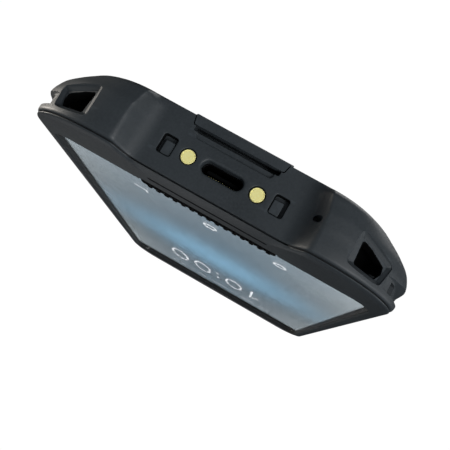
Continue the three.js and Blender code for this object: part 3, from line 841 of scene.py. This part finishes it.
def key_numbers(name):
    """Side, middle y and z, half length and half height of a side key, and how far it stands out."""
    low, high = box_mm(name)
    side = 1 if high.x > 0 else -1
    middle = (low + high) / 2
    return side, middle.y, middle.z, (high.y - low.y) / 2, (high.z - low.z) / 2, max(high.x, -low.x)


def key_slot(name):
    """The hole that a side key stands in, with a rounded mouth."""
    side, y, z, half_y, half_z, _ = key_numbers(name)
    outline = around(y, z, half_y + GAP, half_z + GAP, 0.9)
    levels = mouth(side * side_surface(z), -side, 6, radius=0.45, outside=3)
    return prism(outline, levels, "x")


def tongue_outline(grow):
    """Section of the cover's tongue, as seen from the charging end."""
    return polygon([(-TAB_BACK, -1), (TAB_BACK, -1), (TAB_TIP, TAB_Z), (-TAB_TIP, TAB_Z)], 0.25)(grow)


def screw_spots():
    """Middle and head height of each housing screw."""
    spots = []
    for i in range(1, 7):
        low, high, middle, _ = round_node(f"housing_screw_{i}")
        spots.append((f"housing_screw_{i}", *middle, low.z, high.z))
    return spots


def dock_socket(side):
    """A pocket for a claw of the charger."""
    half, z0, z1 = SOCKET
    x = side * SOCKET_X
    outline = rectangle(x - half, x + half, z0, z1, 0.55)
    return prism(outline, mouth(CHARGE_FACE_Y, 1, SOCKET_DEPTH, 0.15), "y")


def dock_block(side):
    """The block that stands in the pocket, off its middle, with a wide gap on two sides."""
    half, z0, z1 = SOCKET
    x0, x1 = across(side, SOCKET_X - half + 0.17, SOCKET_X + half - 0.84)
    levels = soft_slab(CHARGE_FACE_Y + 0.45, CHARGE_FACE_Y + SOCKET_DEPTH + 0.4, 0.14, 0)
    return prism(rectangle(x0, x1, z0 + 1.1, z1 - 0.2, 0.3), levels, "y")


def dock_shade_sleeve(side):
    """A thin near-black sleeve inside the pocket: painted shade, for the shadow on the pocket's walls.
    """
    half, z0, z1 = SOCKET
    x = side * SOCKET_X
    outline = rectangle(x - half + 0.02, x + half - 0.02, z0 + 0.02, z1 - 0.02, 0.53)
    front, back = CHARGE_FACE_Y + 0.3, CHARGE_FACE_Y + SOCKET_DEPTH - 0.04
    levels = ((front, 0), (back, 0), (back, -0.08), (front, -0.08))
    return prism(outline, levels, "y", closed_ends=False)


def charging_end_cutters():
    """Everything cut into the flat face of the charging end."""
    face = CHARGE_FACE_Y
    cutters = []
    for side in (-1, 1):
        pad_hole = circle(side * PAD_X, PORT_Z, PAD_R + 0.26, 40)
        cutters.append(prism(pad_hole, mouth(face, 1, 3, 0.12), "y"))
        cutters.append(dock_socket(side))
    port = around(0, PORT_Z, *PORT_HALF, PORT_HALF[1] - 0.01, 8)
    cutters.append(prism(port, mouth(face, 1, 3, 0.5), "y"))
    shelf = centred(SHELF_HALF, *SHELF_Z, 0.8)
    cutters.append(prism(shelf, mouth(face, 1, 0.55, 0.14, floor=0.1), "y"))
    pry = centred(PRY_HALF, PRY_Z[0] - 0.6, PRY_Z[1], 0.35)
    cutters.append(prism(pry, mouth(face, 1, 5, 0.08), "y"))
    cutters.append(prism(circle(*MICROPHONE, 24), [(BEYOND_Y, 0.1), (INSIDE_Y, 0)], "y"))
    return cutters


ROOMS = (                              # the spaces inside: ranges in x, y and z, and corner radius
    (-WELL_X, WELL_X, *WELL_Y, DECK_Z, 20, WELL_R),         # screen
    (-34, 34, 34, 78, FLOOR_Z, DECK_Z + 1, 4),              # main board
    (-23, 23, -79, -63, LOWER_FLOOR_Z, 12.6, 1.5),          # port board
    (-15, 15, -71.4, -70, 12, 15, 0.3),                     # speaker's way out
    (-7.3, 7.3, BAY_Y[1] - 1, 35, 3.3, 7.2, 0.3),           # battery connector
)
SIDE_ROOMS = (                         # keys and their flexes, on each side: near x, y range
    (30, -58, 39),
    (33.9, 38, 50),
)


def inner_rooms():
    """Cutters for the spaces inside the rear housing, as in the CAD model."""
    rooms = [block(*room) for room in ROOMS]
    for side in (-1, 1):
        for near, y0, y1 in SIDE_ROOMS:
            rooms.append(block(*across(side, near, HALF_WIDTH - 5.1), y0, y1, 6, DECK_Z + 1, 0.3))
    return rooms


def rear_housing():
    """The moulded shell of the back, sides and both ends."""
    shape = hull(HOUSING_LEVELS, 0, 0.7, 40)
    cutters = inner_rooms() + charging_end_cutters()
    for side in (-1, 1):
        cutters += window_cutters(side) + strap_groove(side)
    cutters += [key_slot(name) for name in KEY_NAMES]
    seat = centred(COVER_X + GAP, COVER_Y[0] - GAP, COVER_Y[1] + GAP, COVER_R + GAP, 8)
    cutters.append(prism(seat, mouth(BACK_Z, 1, COVER_TOP + GAP - BACK_Z, 0.25, outside=1.5)))
    bay = centred(BAY_X, *BAY_Y, 2)
    cutters.append(prism(bay, mouth(COVER_TOP + GAP, 1, WEB_Z - COVER_TOP - GAP, 0.4, outside=1)))
    gap = 0.8 * GAP
    cutters.append(prism(tongue_outline, plain(BEYOND_Y, TAB_END_Y + 0.2, gap), "y"))
    neck = centred(TAB_BACK + GAP, -80, COVER_Y[0] + 4, 0.2)
    cutters.append(prism(neck, plain(-1, COVER_TOP + GAP)))
    for _, x, y, z, _ in screw_spots():
        levels = mouth(BACK_Z, 1, z + 1.5, 0.25, outside=1)
        cutters.append(prism(circle(x, y, SCREW_HEAD_R + 0.25), levels))
        cutters.append(prism(circle(x, y, 1.1, 16), plain(0, DECK_Z + 3)))
    for node in ("rear_camera_window", "flash_lens"):
        _, _, middle, radius = round_node(node)
        cutters.append(prism(circle(*middle, radius + 0.15, 56), mouth(BACK_Z, 1, 4.6, 0.3, outside=1)))
    shape = carve(shape, cutters)
    return carve(shape, [dock_block(side) for side in (-1, 1)], "UNION")


finish_piece(rear_housing(), "housing_shell", shell, stands_for=["rear_housing"])
for word, side in (("left", -1), ("right", 1)):
    finish_piece(dock_shade_sleeve(side), f"dock_shade_sleeve_{word}", speaker_plastic_and_painted_shade)
    finish_piece(window_shade_lining(side), f"window_shade_lining_{word}", speaker_plastic_and_painted_shade)


# ---- front bezel ----
# Where the near-black strip of painted shade lies in the bezel: the shadow of a crease.
SHADE_STRIP = (-13.5, 13.5, -75.3, -74.1)


def front_bezel():
    """The frame round the glass, with its raised lip, speaker pocket and earpiece slot."""
    rim = hull(BEZEL_LEVELS, 0.3, 0, 12)
    wall = SKIRT_WALL
    skirt = centred(LIP_X + wall, LIP_Y[0] - wall, LIP_Y[1] + wall, LIP_R + wall, 8)
    rim = carve(rim, [prism(skirt, plain(SKIRT_Z, BEZEL_Z + 0.2))], "UNION")
    opening = centred(LIP_X, *LIP_Y, LIP_R, 10)
    lip = prism(opening, mouth(CREST_Z, -1, 6, 0.3, outside=2))
    low, high = box_mm("speaker_grille")
    speaker = rectangle(low.x - GAP, high.x + GAP, low.y - GAP, LIP_Y[0] + 1, 0.9)
    speaker = prism(speaker, mouth(CREST_Z, -1, 1.2, 0.2, outside=2))
    # pocket for the near-black strip of painted shade along the crease
    seam = prism(rectangle(*SHADE_STRIP, 0.5), mouth(CREST_Z, -1, 0.4, 0.1, outside=2))
    ear = centred(EAR_HALF, LIP_Y[1] - 1, LIP_Y[1] + 1.8, 0.9)
    ear = prism(ear, mouth(CREST_Z, -1, 1.2, 0.2, outside=2))
    return carve(rim, [lip, speaker, ear, seam])


def bezel_shade_strip():
    """A thin near-black strip let into the bezel, over the charging face: painted shade, standing for
    the shadow in a crease of the bezel.
    """
    return prism(rectangle(*SHADE_STRIP, 0.5), plain(CREST_Z - 0.4, CREST_Z - 0.03))


def lip_shade_strip():
    """A black strip that lines the lip round the glass: painted shade, standing for the shadow on the
    lip's inner wall.
    """
    outline = centred(LIP_X, *LIP_Y, LIP_R, 10)
    low, high = glass_high.z + 0.02, CREST_Z - 0.32
    levels = ((low, -0.02), (high, -0.02), (high + 0.06, -0.1), (high, -0.24), (low, -0.26))
    return prism(outline, levels, closed_ends=False)


def front_gasket():
    """The dark seal that shows in the joint line between bezel and housing."""
    levels = ((PARTING_Z + 0.02, 2.6, 1.3), (BEZEL_Z - 0.02, 2.7, 1.4))
    ring = build("hull", [[(x, y, z) for x, y in hull_outline(z, s, e)] for z, s, e in levels])
    inner = centred(WELL_X, *WELL_Y, WELL_R, 8)
    wide, narrow, front, back = 19.6, CHARGE_HALF - 0.8, CHARGE_FACE_Y - 5, CHARGE_FACE_Y + 1.5
    recess = polygon([(-wide, front), (wide, front), (narrow, back), (-narrow, back)], 0.3)
    return carve(ring, [prism(outline, plain(10, 16)) for outline in (inner, recess)])


finish_piece(front_bezel(), "bezel_frame", bezel_plastic, stands_for=["front_bezel"])
finish_piece(bezel_shade_strip(), "bezel_shade_strip", speaker_plastic_and_painted_shade)
finish_piece(lip_shade_strip(), "lip_shade_strip", joint_rubber_and_painted_shade)
finish_piece(front_gasket(), "joint_gasket", joint_rubber_and_painted_shade, stands_for=["front_gasket"])


# ---- glass and screen ----
SCREEN_R = 1.2
CAMERA_SPOT_R = 1.7
UNDER_GLASS = plain(12, 14)            # levels of cutters that go right through the print
PRINT_Z = (glass_low.z - 0.07, glass_low.z - 0.02)
PANEL_Z = (glass_low.z - 0.28, glass_low.z - 0.15)
MARK_Z = (PANEL_Z[1] + 0.01, PANEL_Z[1] + 0.05)


def cover_glass():
    """The cover glass, with its upper edge ground round."""
    outline = plan(glass_low, glass_high, LIP_R - GAP, 10)
    return prism(outline, soft_slab(glass_low.z, glass_high.z, 0.08, 0.3))


def border_print():
    """Black border under the glass, with a clear spot for the front camera."""
    _, _, middle, _ = round_node("front_camera")
    inset = Vector((0.1, 0.1, 0))
    outer = plan(glass_low + inset, glass_high - inset, LIP_R - GAP, 10)
    ring = prism(outer, plain(*PRINT_Z))
    clear = prism(centred(SCREEN_X, *SCREEN_Y, SCREEN_R), UNDER_GLASS)
    spot = prism(circle(*middle, CAMERA_SPOT_R), UNDER_GLASS)
    return carve(ring, [clear, spot])


def lit_panel():
    """The thin panel that shows the picture."""
    outline = centred(SCREEN_X + 0.3, SCREEN_Y[0] - 0.3, SCREEN_Y[1] + 0.3, SCREEN_R)
    return prism(outline, plain(*PANEL_Z))


def ring_mark(x, y, half_x, half_y, stroke, end_stroke=None):
    """An oval ring, such as a nought, whose ends may be thicker than its sides."""
    end_stroke = end_stroke or stroke
    low, high = MARK_Z
    outer, inner = (half_x, half_y), (half_x - stroke, half_y - end_stroke)
    angles = np.linspace(0, 2 * math.pi, 40, endpoint=False)
    rings = [[(x + rx * math.cos(a), y + ry * math.sin(a), z) for a in angles]
             for (rx, ry), z in ((outer, low), (outer, high), (inner, high), (inner, low))]
    return build("mark", rings, closed_ends=False)


def bar_mark(x0, x1, y0, y1):
    """A straight stroke with round ends."""
    radius = 0.49 * min(x1 - x0, y1 - y0)
    return prism(rectangle(x0, x1, y0, y1, radius, 4), plain(*MARK_Z), name="mark")


def slanted_mark(start, end, width):
    """A slanted stroke."""
    start, end = np.array(start), np.array(end)
    way = (end - start) / np.linalg.norm(end - start)
    off = np.array([-way[1], way[0]]) * width / 2
    outline = polygon([start - off, end - off, end + off, start + off], 0.1)
    return prism(outline, plain(*MARK_Z), name="mark")


CLOCK_Y = 34.8
CLOCK_TALL = 20.0
CLOCK_X = (-14.6, -0.6, -7.4, 5.7, 15.1)
DASH_Y = 60.5
DASHES = (5.0, 6.5, 3.0, 7.5, 4.2, 2.4, 6.0)
DASH_X = -24.0
DASH_GAP = 1.6
SIGN_X = (-17.9, 0.7, 19.5)
SIGN_Y = -50.6


def clock_marks():
    """The time of day: a one, three noughts and a colon."""
    low, high = CLOCK_Y - CLOCK_TALL / 2, CLOCK_Y + CLOCK_TALL / 2
    one, stroke = CLOCK_X[0], 0.8
    marks = [bar_mark(one - stroke / 2, one + stroke / 2, low, high),
             slanted_mark((one - 3.4, high - 5.5), (one - 0.1, high - 0.6), 0.8)]
    marks += [ring_mark(x, CLOCK_Y, 3.45, CLOCK_TALL / 2, 0.75, 1.7) for x in CLOCK_X[2:]]
    marks += [ring_mark(CLOCK_X[1], CLOCK_Y + dy, 0.5, 1.3, 0.4) for dy in (-5.5, 5.5)]
    return merge("clock_marks", marks)


def faint_marks_piece():
    """A row of dashes over the clock, and three plain signs at the foot of the picture."""
    marks = []
    x = DASH_X
    for length in DASHES:
        marks.append(bar_mark(x, x + length, DASH_Y - 0.55, DASH_Y + 0.55))
        x += length + DASH_GAP
    left, middle, right = SIGN_X
    marks += [ring_mark(left, SIGN_Y, 1.8, 1.9, 0.6, 0.7), ring_mark(middle, SIGN_Y, 1.9, 1.9, 0.6, 0.7)]
    for x in (middle - 0.9, middle + 0.9):
        marks.append(slanted_mark((x, SIGN_Y + 1.2), (x, SIGN_Y + 2.6), 0.4))
    marks += [bar_mark(right - 1.8, right + 1.8, SIGN_Y - 1.3, SIGN_Y - 0.8),
              bar_mark(right - 1.8, right - 1.3, SIGN_Y - 0.6, SIGN_Y + 1.4)]
    return merge("faint_marks", marks)


finish_piece(cover_glass(), "cover_glass_sheet", glass, stands_for=["cover_glass"])
finish_piece(border_print(), "glass_border_print", ink)
finish_piece(lit_panel(), "screen_picture", picture)
finish_piece(clock_marks(), "screen_clock", white_marks)
finish_piece(faint_marks_piece(), "screen_signs", faint_marks)


# ---- speaker and earpiece ----
TOOTH_PITCH = 2.05
TOOTH_REACH = 2.2


def speaker_grille():
    """A slotted bar beside the glass with a comb of short teeth that reach over it."""
    low, high = box_mm("speaker_grille")
    edge = high.y - TOOTH_REACH
    body = prism(rectangle(low.x, high.x, low.y, edge, 0.8, 6), soft_slab(low.z, high.z, 0.05, 0.15))
    teeth = []
    for i in range(-7, 8):
        x = TOOTH_PITCH * i
        tooth = rectangle(x - 0.55, x + 0.55, edge - 0.3, high.y, 0.4)
        teeth.append(prism(tooth, soft_slab(low.z + 0.02, high.z - 0.15, 0.05, 0.12)))
    grille = carve(body, teeth, "UNION")
    slots = []
    for i in range(-14, 15):
        x = TOOTH_PITCH / 2 * i
        slot = rectangle(x - 0.25, x + 0.25, low.y + 0.6, edge - 0.6, 0.24)
        slots.append(prism(slot, [(low.z + 0.2, 0), (high.z + 1, 0.02)]))
    return carve(grille, slots)


def earpiece():
    """The cloth over the earpiece."""
    low, high = box_mm("earpiece_mesh")
    outline = plan(low, high, 0.7, 6)
    return prism(outline, soft_slab(low.z, high.z, 0.05, 0.12))


finish_piece(speaker_grille(), "speaker_comb", speaker_plastic_and_painted_shade,
             stands_for=["speaker_grille"])
finish_piece(earpiece(), "earpiece_cloth", mesh_cloth, stands_for=["earpiece_mesh"])


# ---- charging contacts and port ----
PAD_BACK_Y = -79.3
STEM_R = 0.6
STEM_END_Y = -75.4
TONGUE_HALF = (3.35, 0.35)
TONGUE_END_Y = -72.2
FLAT_Y = (-76.6, -73)                  # contacts on the port's tongue
FLAT_PITCH = 0.5
FLATS = 12


def contact_pad(side):
    """A turned contact: flat face, fine groove, rounded rim, and a stem to the board behind."""
    face, r = PAD_FACE_Y, PAD_R
    profile = [(0, face + 0.02), (r - 0.34, face + 0.02), (r - 0.3, face + 0.06),
               (r - 0.24, face + 0.07), (r - 0.2, face), (r - 0.12, face - 0.02),
               (r - 0.04, face + 0.04), (r, face + 0.14), (r, PAD_BACK_Y),
               (STEM_R, PAD_BACK_Y + 0.05), (STEM_R, STEM_END_Y), (0, STEM_END_Y)]
    return lathe("contact", profile, (side * PAD_X, PORT_Z), "y")


def contact_seal(side):
    """A thin O-ring round the contact, just inside the face."""
    middle, thick, place = PAD_R + 0.13, 0.11, PAD_FACE_Y + 0.45
    angles = [2 * math.pi * k / 10 for k in range(10)]
    levels = [(place + thick * math.sin(a), thick * math.cos(a)) for a in angles]
    return prism(circle(side * PAD_X, PORT_Z, middle, 48), levels, "y", closed_ends=False)


def usb_shell():
    """The metal shell of the port, closed at its back."""
    low, high = box_mm("usb_c_receptacle")
    half_x, half_z, wall = (high.x - low.x) / 2, (high.z - low.z) / 2, 0.3
    outer = around(0, PORT_Z, half_x, half_z, half_z - 0.01, 8)
    inner = around(0, PORT_Z, half_x - wall, half_z - wall, half_z - wall - 0.01, 8)
    shape = prism(outer, soft_slab(low.y, high.y, 0.08, 0.08), "y")
    return carve(shape, [prism(inner, mouth(low.y, 1, high.y - low.y - 2 * wall, 0.1, outside=1), "y")])


def usb_tongue():
    """The tongue in the middle of the port."""
    outline = around(0, PORT_Z, *TONGUE_HALF, 0.2)
    return prism(outline, soft_slab(INSIDE_Y, TONGUE_END_Y, 0.15, 0), "y")


def usb_contacts():
    """Two rows of flat contacts on the tongue."""
    contacts = []
    for i in range(FLATS):
        x = FLAT_PITCH * (i - (FLATS - 1) / 2)
        for z in (-0.36, 0.36):
            flat = rectangle(x - 0.12, x + 0.12, *FLAT_Y, 0.05)
            contacts.append(prism(flat, plain(PORT_Z + z - 0.03, PORT_Z + z + 0.03)))
    return merge("usb_contacts", contacts)


for word, side in (("left", -1), ("right", 1)):
    finish_piece(contact_pad(side), f"charging_contact_{word}", gold,
                 stands_for=[f"contact_pad_{word}"])
    finish_piece(contact_seal(side), f"contact_ring_{word}", joint_rubber_and_painted_shade,
                 stands_for=[f"contact_seal_{word}"])
finish_piece(usb_shell(), "usb_shell", port_steel_painted_shade, stands_for=["usb_c_receptacle"])
finish_piece(usb_tongue(), "usb_tongue", speaker_plastic_and_painted_shade)
finish_piece(usb_contacts(), "usb_contacts", gold)


# ---- battery cover ----
GRIPS = 6                              # grooves for the fingers, near the charging end
GRIP_HALF = 13
GRIP_PITCH = 2
NECK_END_Y = COVER_Y[0] + 4


def battery_cover():
    """Cover plate with a shallow panel, grip grooves, and the tongue that closes the charging end."""
    outline = centred(COVER_X, *COVER_Y, COVER_R, 10)
    plate = prism(outline, soft_slab(cover_low.z, COVER_TOP, 0.5, 0.05))
    tongue = hull(HOUSING_LEVELS, 0, 0.42, 40)
    tongue.data.transform(Matrix.Translation((0, 0, -TAB_PROUD * MM)))
    tongue = carve(tongue, [prism(tongue_outline, plain(BEYOND_Y, TAB_END_Y), "y")], "INTERSECT")
    neck = polygon([(-79.9, COVER_TOP), (-79.9, 0.9), (-78.4, 0), (NECK_END_Y, 0),
                    (NECK_END_Y, COVER_TOP)], 0.12)
    neck = prism(neck, plain(-TAB_BACK, TAB_BACK), "x")
    shape = carve(plate, [tongue, neck], "UNION")
    panel = centred(COVER_X - 5, COVER_Y[0] + 17, COVER_Y[1] - 5, 3, 8)
    cutters = [prism(panel, mouth(cover_low.z, 1, 0.3, 0.15, floor=0.1, outside=1))]
    for i in range(GRIPS):
        y = COVER_Y[0] + 3.2 + GRIP_PITCH * i
        groove = around(0, y, GRIP_HALF, 0.45, 0.44)
        cutters.append(prism(groove, mouth(cover_low.z, 1, 0.4, 0.15, floor=0.15, outside=1)))
    return carve(shape, cutters)


def battery():
    """The battery pack, with the seam of its wrap."""
    outline = plan(battery_low, battery_high, 1.6)
    pack = prism(outline, soft_slab(battery_low.z, battery_high.z, 0.5, 0.5))
    end = battery_high.y
    seam = rectangle(battery_low.x - 1, battery_high.x + 1, end - 7.2, end - 7, 0.05)
    return carve(pack, [prism(seam, plain(0, battery_low.z + 0.12))])


def wrapped_film(name):
    """Printed film wrap of the battery: two tones with a band, no lettering."""
    material, tree, shader = shader_for(name, (0.03, 0.033, 0.036), 0.38)
    band = remap(tree, coordinates(tree)["Y"], 0.0128, 0.013, 0, 1)
    base = mix_colours(tree, band, (0.035, 0.038, 0.042), (0.12, 0.13, 0.14))
    creases = noise(tree, 5, 5, stretch=(1, 0.2, 1))
    base = mix_colours(tree, remap(tree, creases, 0.5, 0.7, 0, 0.3), base, (0.09, 0.095, 0.1))
    feed(shader, "Base Color", base)
    feed(shader, "Roughness", remap(tree, creases, 0.3, 0.7, 0.28, 0.5))
    bump(tree, shader, creases, 0.05)
    return material


film = wrapped_film("battery_film")
finish_piece(battery_cover(), "battery_cover_plate", cover_plastic, COVER_BODY,
             stands_for=["battery_cover"])
finish_piece(battery(), "battery_block", film, stands_for=["battery_pack"])


# ---- side keys ----
KEY_SHOULDER = HALF_WIDTH - 2.1
KEY_FOOT = HALF_WIDTH - 4.7
LONG_KEY = 8                           # keys with a half length over this have grooves, others a dish
KEY_GROOVE_PITCH = 1.9


def sided(side, levels):
    """Levels along X, taken to the side given."""
    return [(side * place, grow) for place, grow in levels]


def side_key(name):
    """A moulded key cap with rounded edges and grip grooves, on a foot behind the wall."""
    side, y, z, half_y, half_z, tip = key_numbers(name)
    cap = around(y, z, half_y, half_z, 0.8, 6)
    shape = prism(cap, sided(side, soft_slab(KEY_SHOULDER, tip, 0.1, 0.55)), "x")
    foot = around(y, z, half_y - 1, 1, 0.3)
    foot = prism(foot, sided(side, plain(KEY_FOOT, KEY_SHOULDER + 0.3)), "x")
    shape = carve(shape, [foot], "UNION")
    cutters = []
    grooves = max(3, int(half_y / 1.6)) if half_y > LONG_KEY else 0
    for i in range(grooves):
        at = y + (i - (grooves - 1) / 2) * KEY_GROOVE_PITCH
        groove = around(at, z, 0.38, 1.1, 0.36)
        cutters.append(prism(groove, mouth(side * tip, -side, 0.35, 0.12, floor=0.12, outside=1), "x"))
    if not grooves:
        dish = around(y, z, half_y - 1.4, 0.75, 0.7)
        cutters.append(prism(dish, mouth(side * tip, -side, 0.25, 0.12, floor=0.12, outside=1), "x"))
    return carve(shape, cutters)


for name in KEY_NAMES:
    finish_piece(side_key(name), f"{name}_cap", key_rubber, name, [name])


# ---- camera, flash and screws ----
def camera_window():
    """The clear disc over the rear camera."""
    low, high, middle, radius = round_node("rear_camera_window")
    r = radius - 1.0
    profile = [(0, low.z + 0.14), (r - 0.12, low.z + 0.14), (r, low.z + 0.24), (r, high.z), (0, high.z)]
    return lathe("disc", profile, middle, steps=56)


def camera_ring():
    """The turned ring round that disc."""
    low, high, middle, r = round_node("rear_camera_window")
    inner = r - 0.95
    levels = [(low.z + 0.35, inner), (low.z + 0.1, inner + 0.12), (low.z, inner + 0.3), (low.z, r - 0.2),
              (low.z + 0.06, r - 0.06), (low.z + 0.2, r), (high.z, r), (high.z, inner)]
    return prism(circle(*middle, 0, 56), levels, closed_ends=False)


def camera_barrel():
    """Lens barrel with stepped baffles, in front of its sensor block."""
    low, high, middle, _ = round_node("rear_camera")
    profile = [(0, 2.75), (1.0, 2.7), (1.05, 2.3), (1.5, 2.2), (1.55, 2.0), (2.1, 1.95), (2.2, 1.8),
               (3.1, 1.8), (3.2, 1.9), (3.2, 3.15), (0, 3.15)]
    barrel = lathe("barrel", profile, middle)
    square = prism(plan(low, high, 0.5), plain(3.2, high.z))
    return merge("rear_camera", [barrel, square])


def flash_cap():
    """The lamp's cap, with rings moulded into its face."""
    low, high, middle, r = round_node("flash_lens")
    profile = [(0, low.z + 0.25), (0.5, low.z + 0.3), (0.9, low.z + 0.12), (1.3, low.z + 0.26),
               (1.7, low.z + 0.1), (r - 0.1, low.z + 0.1), (r, low.z + 0.2), (r, high.z), (0, high.z)]
    return lathe("flash", profile, middle, steps=40)


LOBES = 6


def screw(x, y, low, high):
    """Pan-head screw with a six-lobed socket."""
    r = SCREW_HEAD_R
    profile = [(0, low), (r - 0.5, low), (r - 0.2, low + 0.08), (r - 0.04, low + 0.25), (r, low + 0.5),
               (r, low + 1.1), (0.8, low + 1.15), (0.8, high), (0, high)]
    shape = lathe("screw", profile, (x, y), steps=32)
    points = []
    for angle in np.linspace(0, 2 * math.pi, 8 * LOBES, endpoint=False):
        reach = 0.88 + 0.2 * math.cos(LOBES * angle)
        points.append((x + reach * math.cos(angle), y + reach * math.sin(angle)))
    rings = [[(u, v, z) for u, v in points] for z in (low - 1, low + 0.7)]
    return carve(shape, [build("socket", rings)])


finish_piece(camera_window(), "camera_disc", glass, stands_for=["rear_camera_window"])
finish_piece(camera_ring(), "camera_ring", black_steel)
finish_piece(camera_barrel(), "camera_barrel", black_plastic,
             stands_for=["rear_camera"])
lamp = lamp_plastic("lamp_plastic")
finish_piece(flash_cap(), "flash_cap", lamp, stands_for=["flash_lens"])
for name, x, y, low, high in screw_spots():
    finish_piece(screw(x, y, low, high), name.replace("housing_screw", "screw"), black_steel,
                 stands_for=[name])


# ---- inner CAD pieces that stay, with their finishes ----
ceramic = moulded_plastic("antenna_ceramic", (0.5, 0.42, 0.28), 0.7, grain_mm=0.6, wear=0.1)
KEPT = {
    "display_panel": black_plastic, "display_bracket": alloy, "front_camera": black_plastic,
    "speaker_driver": black_plastic, "earpiece_driver": black_plastic, "port_board": board,
    "microphone": steel, "side_flex_left": flex, "side_flex_right": flex, "cover_seal": joint_rubber_and_painted_shade,
    "battery_connector": black_plastic, "main_board": board, "processor_shield": steel,
    "card_holder": steel, "vibration_motor": steel, "gnss_antenna": ceramic,
    "wireless_antenna": flex, "flash_led": lamp,
}
for name in KEY_NAMES:
    KEPT[f"{name}_switch"] = steel
for name, material in KEPT.items():
    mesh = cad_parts[name].data
    mesh.materials.clear()
    mesh.materials.append(material)


# ---- stage, light and camera ----
CAMERA_PLACE = (-0.01665, -0.1960, 0.0380)
CAMERA_TURN = -5.70         # degrees; 0 looks along +Y
CAMERA_TILT = -10.20        # below the horizon
CAMERA_ROLL = 149.60        # the camera is nearly upside down
CAMERA_LENS = 50.8
WORLD_FRONT = 0.23          # light of the surroundings, from the charging end
WORLD_REAR = 0.02
WORLD_TOP = 1.3
DOME_R = 8                  # metres
FLOOR_HALF = 4
FLOOR_DROP = 0.0005


def stage_material():
    """Plain pale light, and clear from behind, so that the floor hides nothing from below."""
    material = bpy.data.materials.new("stage_pale")
    material.use_nodes = True
    nodes, links = material.node_tree.nodes, material.node_tree.links
    nodes.clear()
    glow = nodes.new("ShaderNodeEmission")
    glow.inputs["Color"].default_value = (1, 1, 1, 1)
    glow.inputs["Strength"].default_value = 1.02
    clear = nodes.new("ShaderNodeBsdfTransparent")
    mix = nodes.new("ShaderNodeMixShader")
    links.new(nodes.new("ShaderNodeNewGeometry").outputs["Backfacing"], mix.inputs["Fac"])
    links.new(glow.outputs["Emission"], mix.inputs[1])
    links.new(clear.outputs["BSDF"], mix.inputs[2])
    out = nodes.new("ShaderNodeOutputMaterial")
    links.new(mix.outputs["Shader"], out.inputs["Surface"])
    return material


def stage_piece(name, mesh_maker, material):
    """A floor or backdrop that only the camera sees, so that it does not tint the object."""
    shape = bmesh.new()
    mesh_maker(shape)
    piece = from_shape(name, shape)
    piece.data.materials.append(material)
    for flag in ("diffuse", "glossy", "transmission", "shadow", "volume_scatter"):
        setattr(piece, f"visible_{flag}", False)
    return piece


def pale_stage():
    """A pale floor under the device, and a pale dome round it."""
    def dome(shape):
        bmesh.ops.create_uvsphere(shape, u_segments=32, v_segments=16, radius=DOME_R)
        bmesh.ops.reverse_faces(shape, faces=shape.faces)

    material = stage_material()
    stage_piece("backdrop", dome, material)
    floor = stage_piece("floor", lambda shape: bmesh.ops.create_grid(shape, size=FLOOR_HALF), material)
    floor.location.z = -FLOOR_DROP


def soft_light(name, place, energy, size, colour=(1, 1, 1)):
    """An area light at a place in metres, aimed at the middle of the charging end."""
    data = bpy.data.lights.new(name, "AREA")
    data.energy = energy
    data.size = size
    data.color = colour
    lamp_object = in_scene(name, data)
    lamp_object.location = place
    aim = Vector((0, -0.05, 0.008)) - Vector(place)
    lamp_object.rotation_euler = aim.to_track_quat("-Z", "Y").to_euler()


def studio_world():
    """Soft light from the charging end, dimmer from above and from behind the device."""
    world = bpy.data.worlds.new("studio")
    bpy.context.scene.world = world
    world.use_nodes = True
    tree = world.node_tree
    background = tree.nodes["Background"]
    background.inputs["Color"].default_value = (0.86, 0.93, 1.0, 1)
    way = tree.nodes.new("ShaderNodeSeparateXYZ")
    tree.links.new(tree.nodes.new("ShaderNodeTexCoord").outputs["Generated"], way.inputs[0])
    ahead = remap(tree, way.outputs["Y"], -0.6, 0.8, WORLD_FRONT, WORLD_REAR)
    above = remap(tree, way.outputs["Z"], 0.0, 0.9, 1.0, WORLD_TOP)
    tree.links.new(calc(tree, "MULTIPLY", ahead, above), background.inputs["Strength"])


def lights():
    """Soft lamps round the device: two from the charging end, and weaker ones behind and below."""
    studio_world()
    soft_light("key", (-0.45, -0.55, 0.22), 3.7, 0.4)
    soft_light("side", (-0.7, -0.02, 0.05), 1.1, 0.4)
    soft_light("warm_fill", (0.7, 0.04, 0.03), 5.4, 0.3, (1.0, 0.93, 0.84))
    soft_light("behind", (0.25, 0.6, 0.6), 0.5, 0.5)
    soft_light("under", (-0.2, 0.3, -0.6), 1.4, 0.5)


def camera():
    """The camera, in front of the charging end and a little above it, rolled nearly upside down."""
    data = bpy.data.cameras.new("camera")
    data.lens = CAMERA_LENS
    data.clip_start, data.clip_end = 0.01, 50
    eye = in_scene("camera", data)
    turn, tilt, roll = (math.radians(a) for a in (CAMERA_TURN, CAMERA_TILT, CAMERA_ROLL))
    ahead = Vector((-math.sin(turn) * math.cos(tilt), math.cos(turn) * math.cos(tilt), math.sin(tilt)))
    level = ahead.cross(Vector((0, 0, 1))).normalized()
    above = level.cross(ahead)
    up = above * math.cos(roll) + level * math.sin(roll)
    right = ahead.cross(up)
    turned = Matrix((right, up, -ahead)).transposed().to_4x4()
    eye.matrix_world = Matrix.Translation(CAMERA_PLACE) @ turned
    bpy.context.scene.camera = eye


pale_stage()
lights()
camera()
bpy.context.scene.view_settings.view_transform = "Standard"
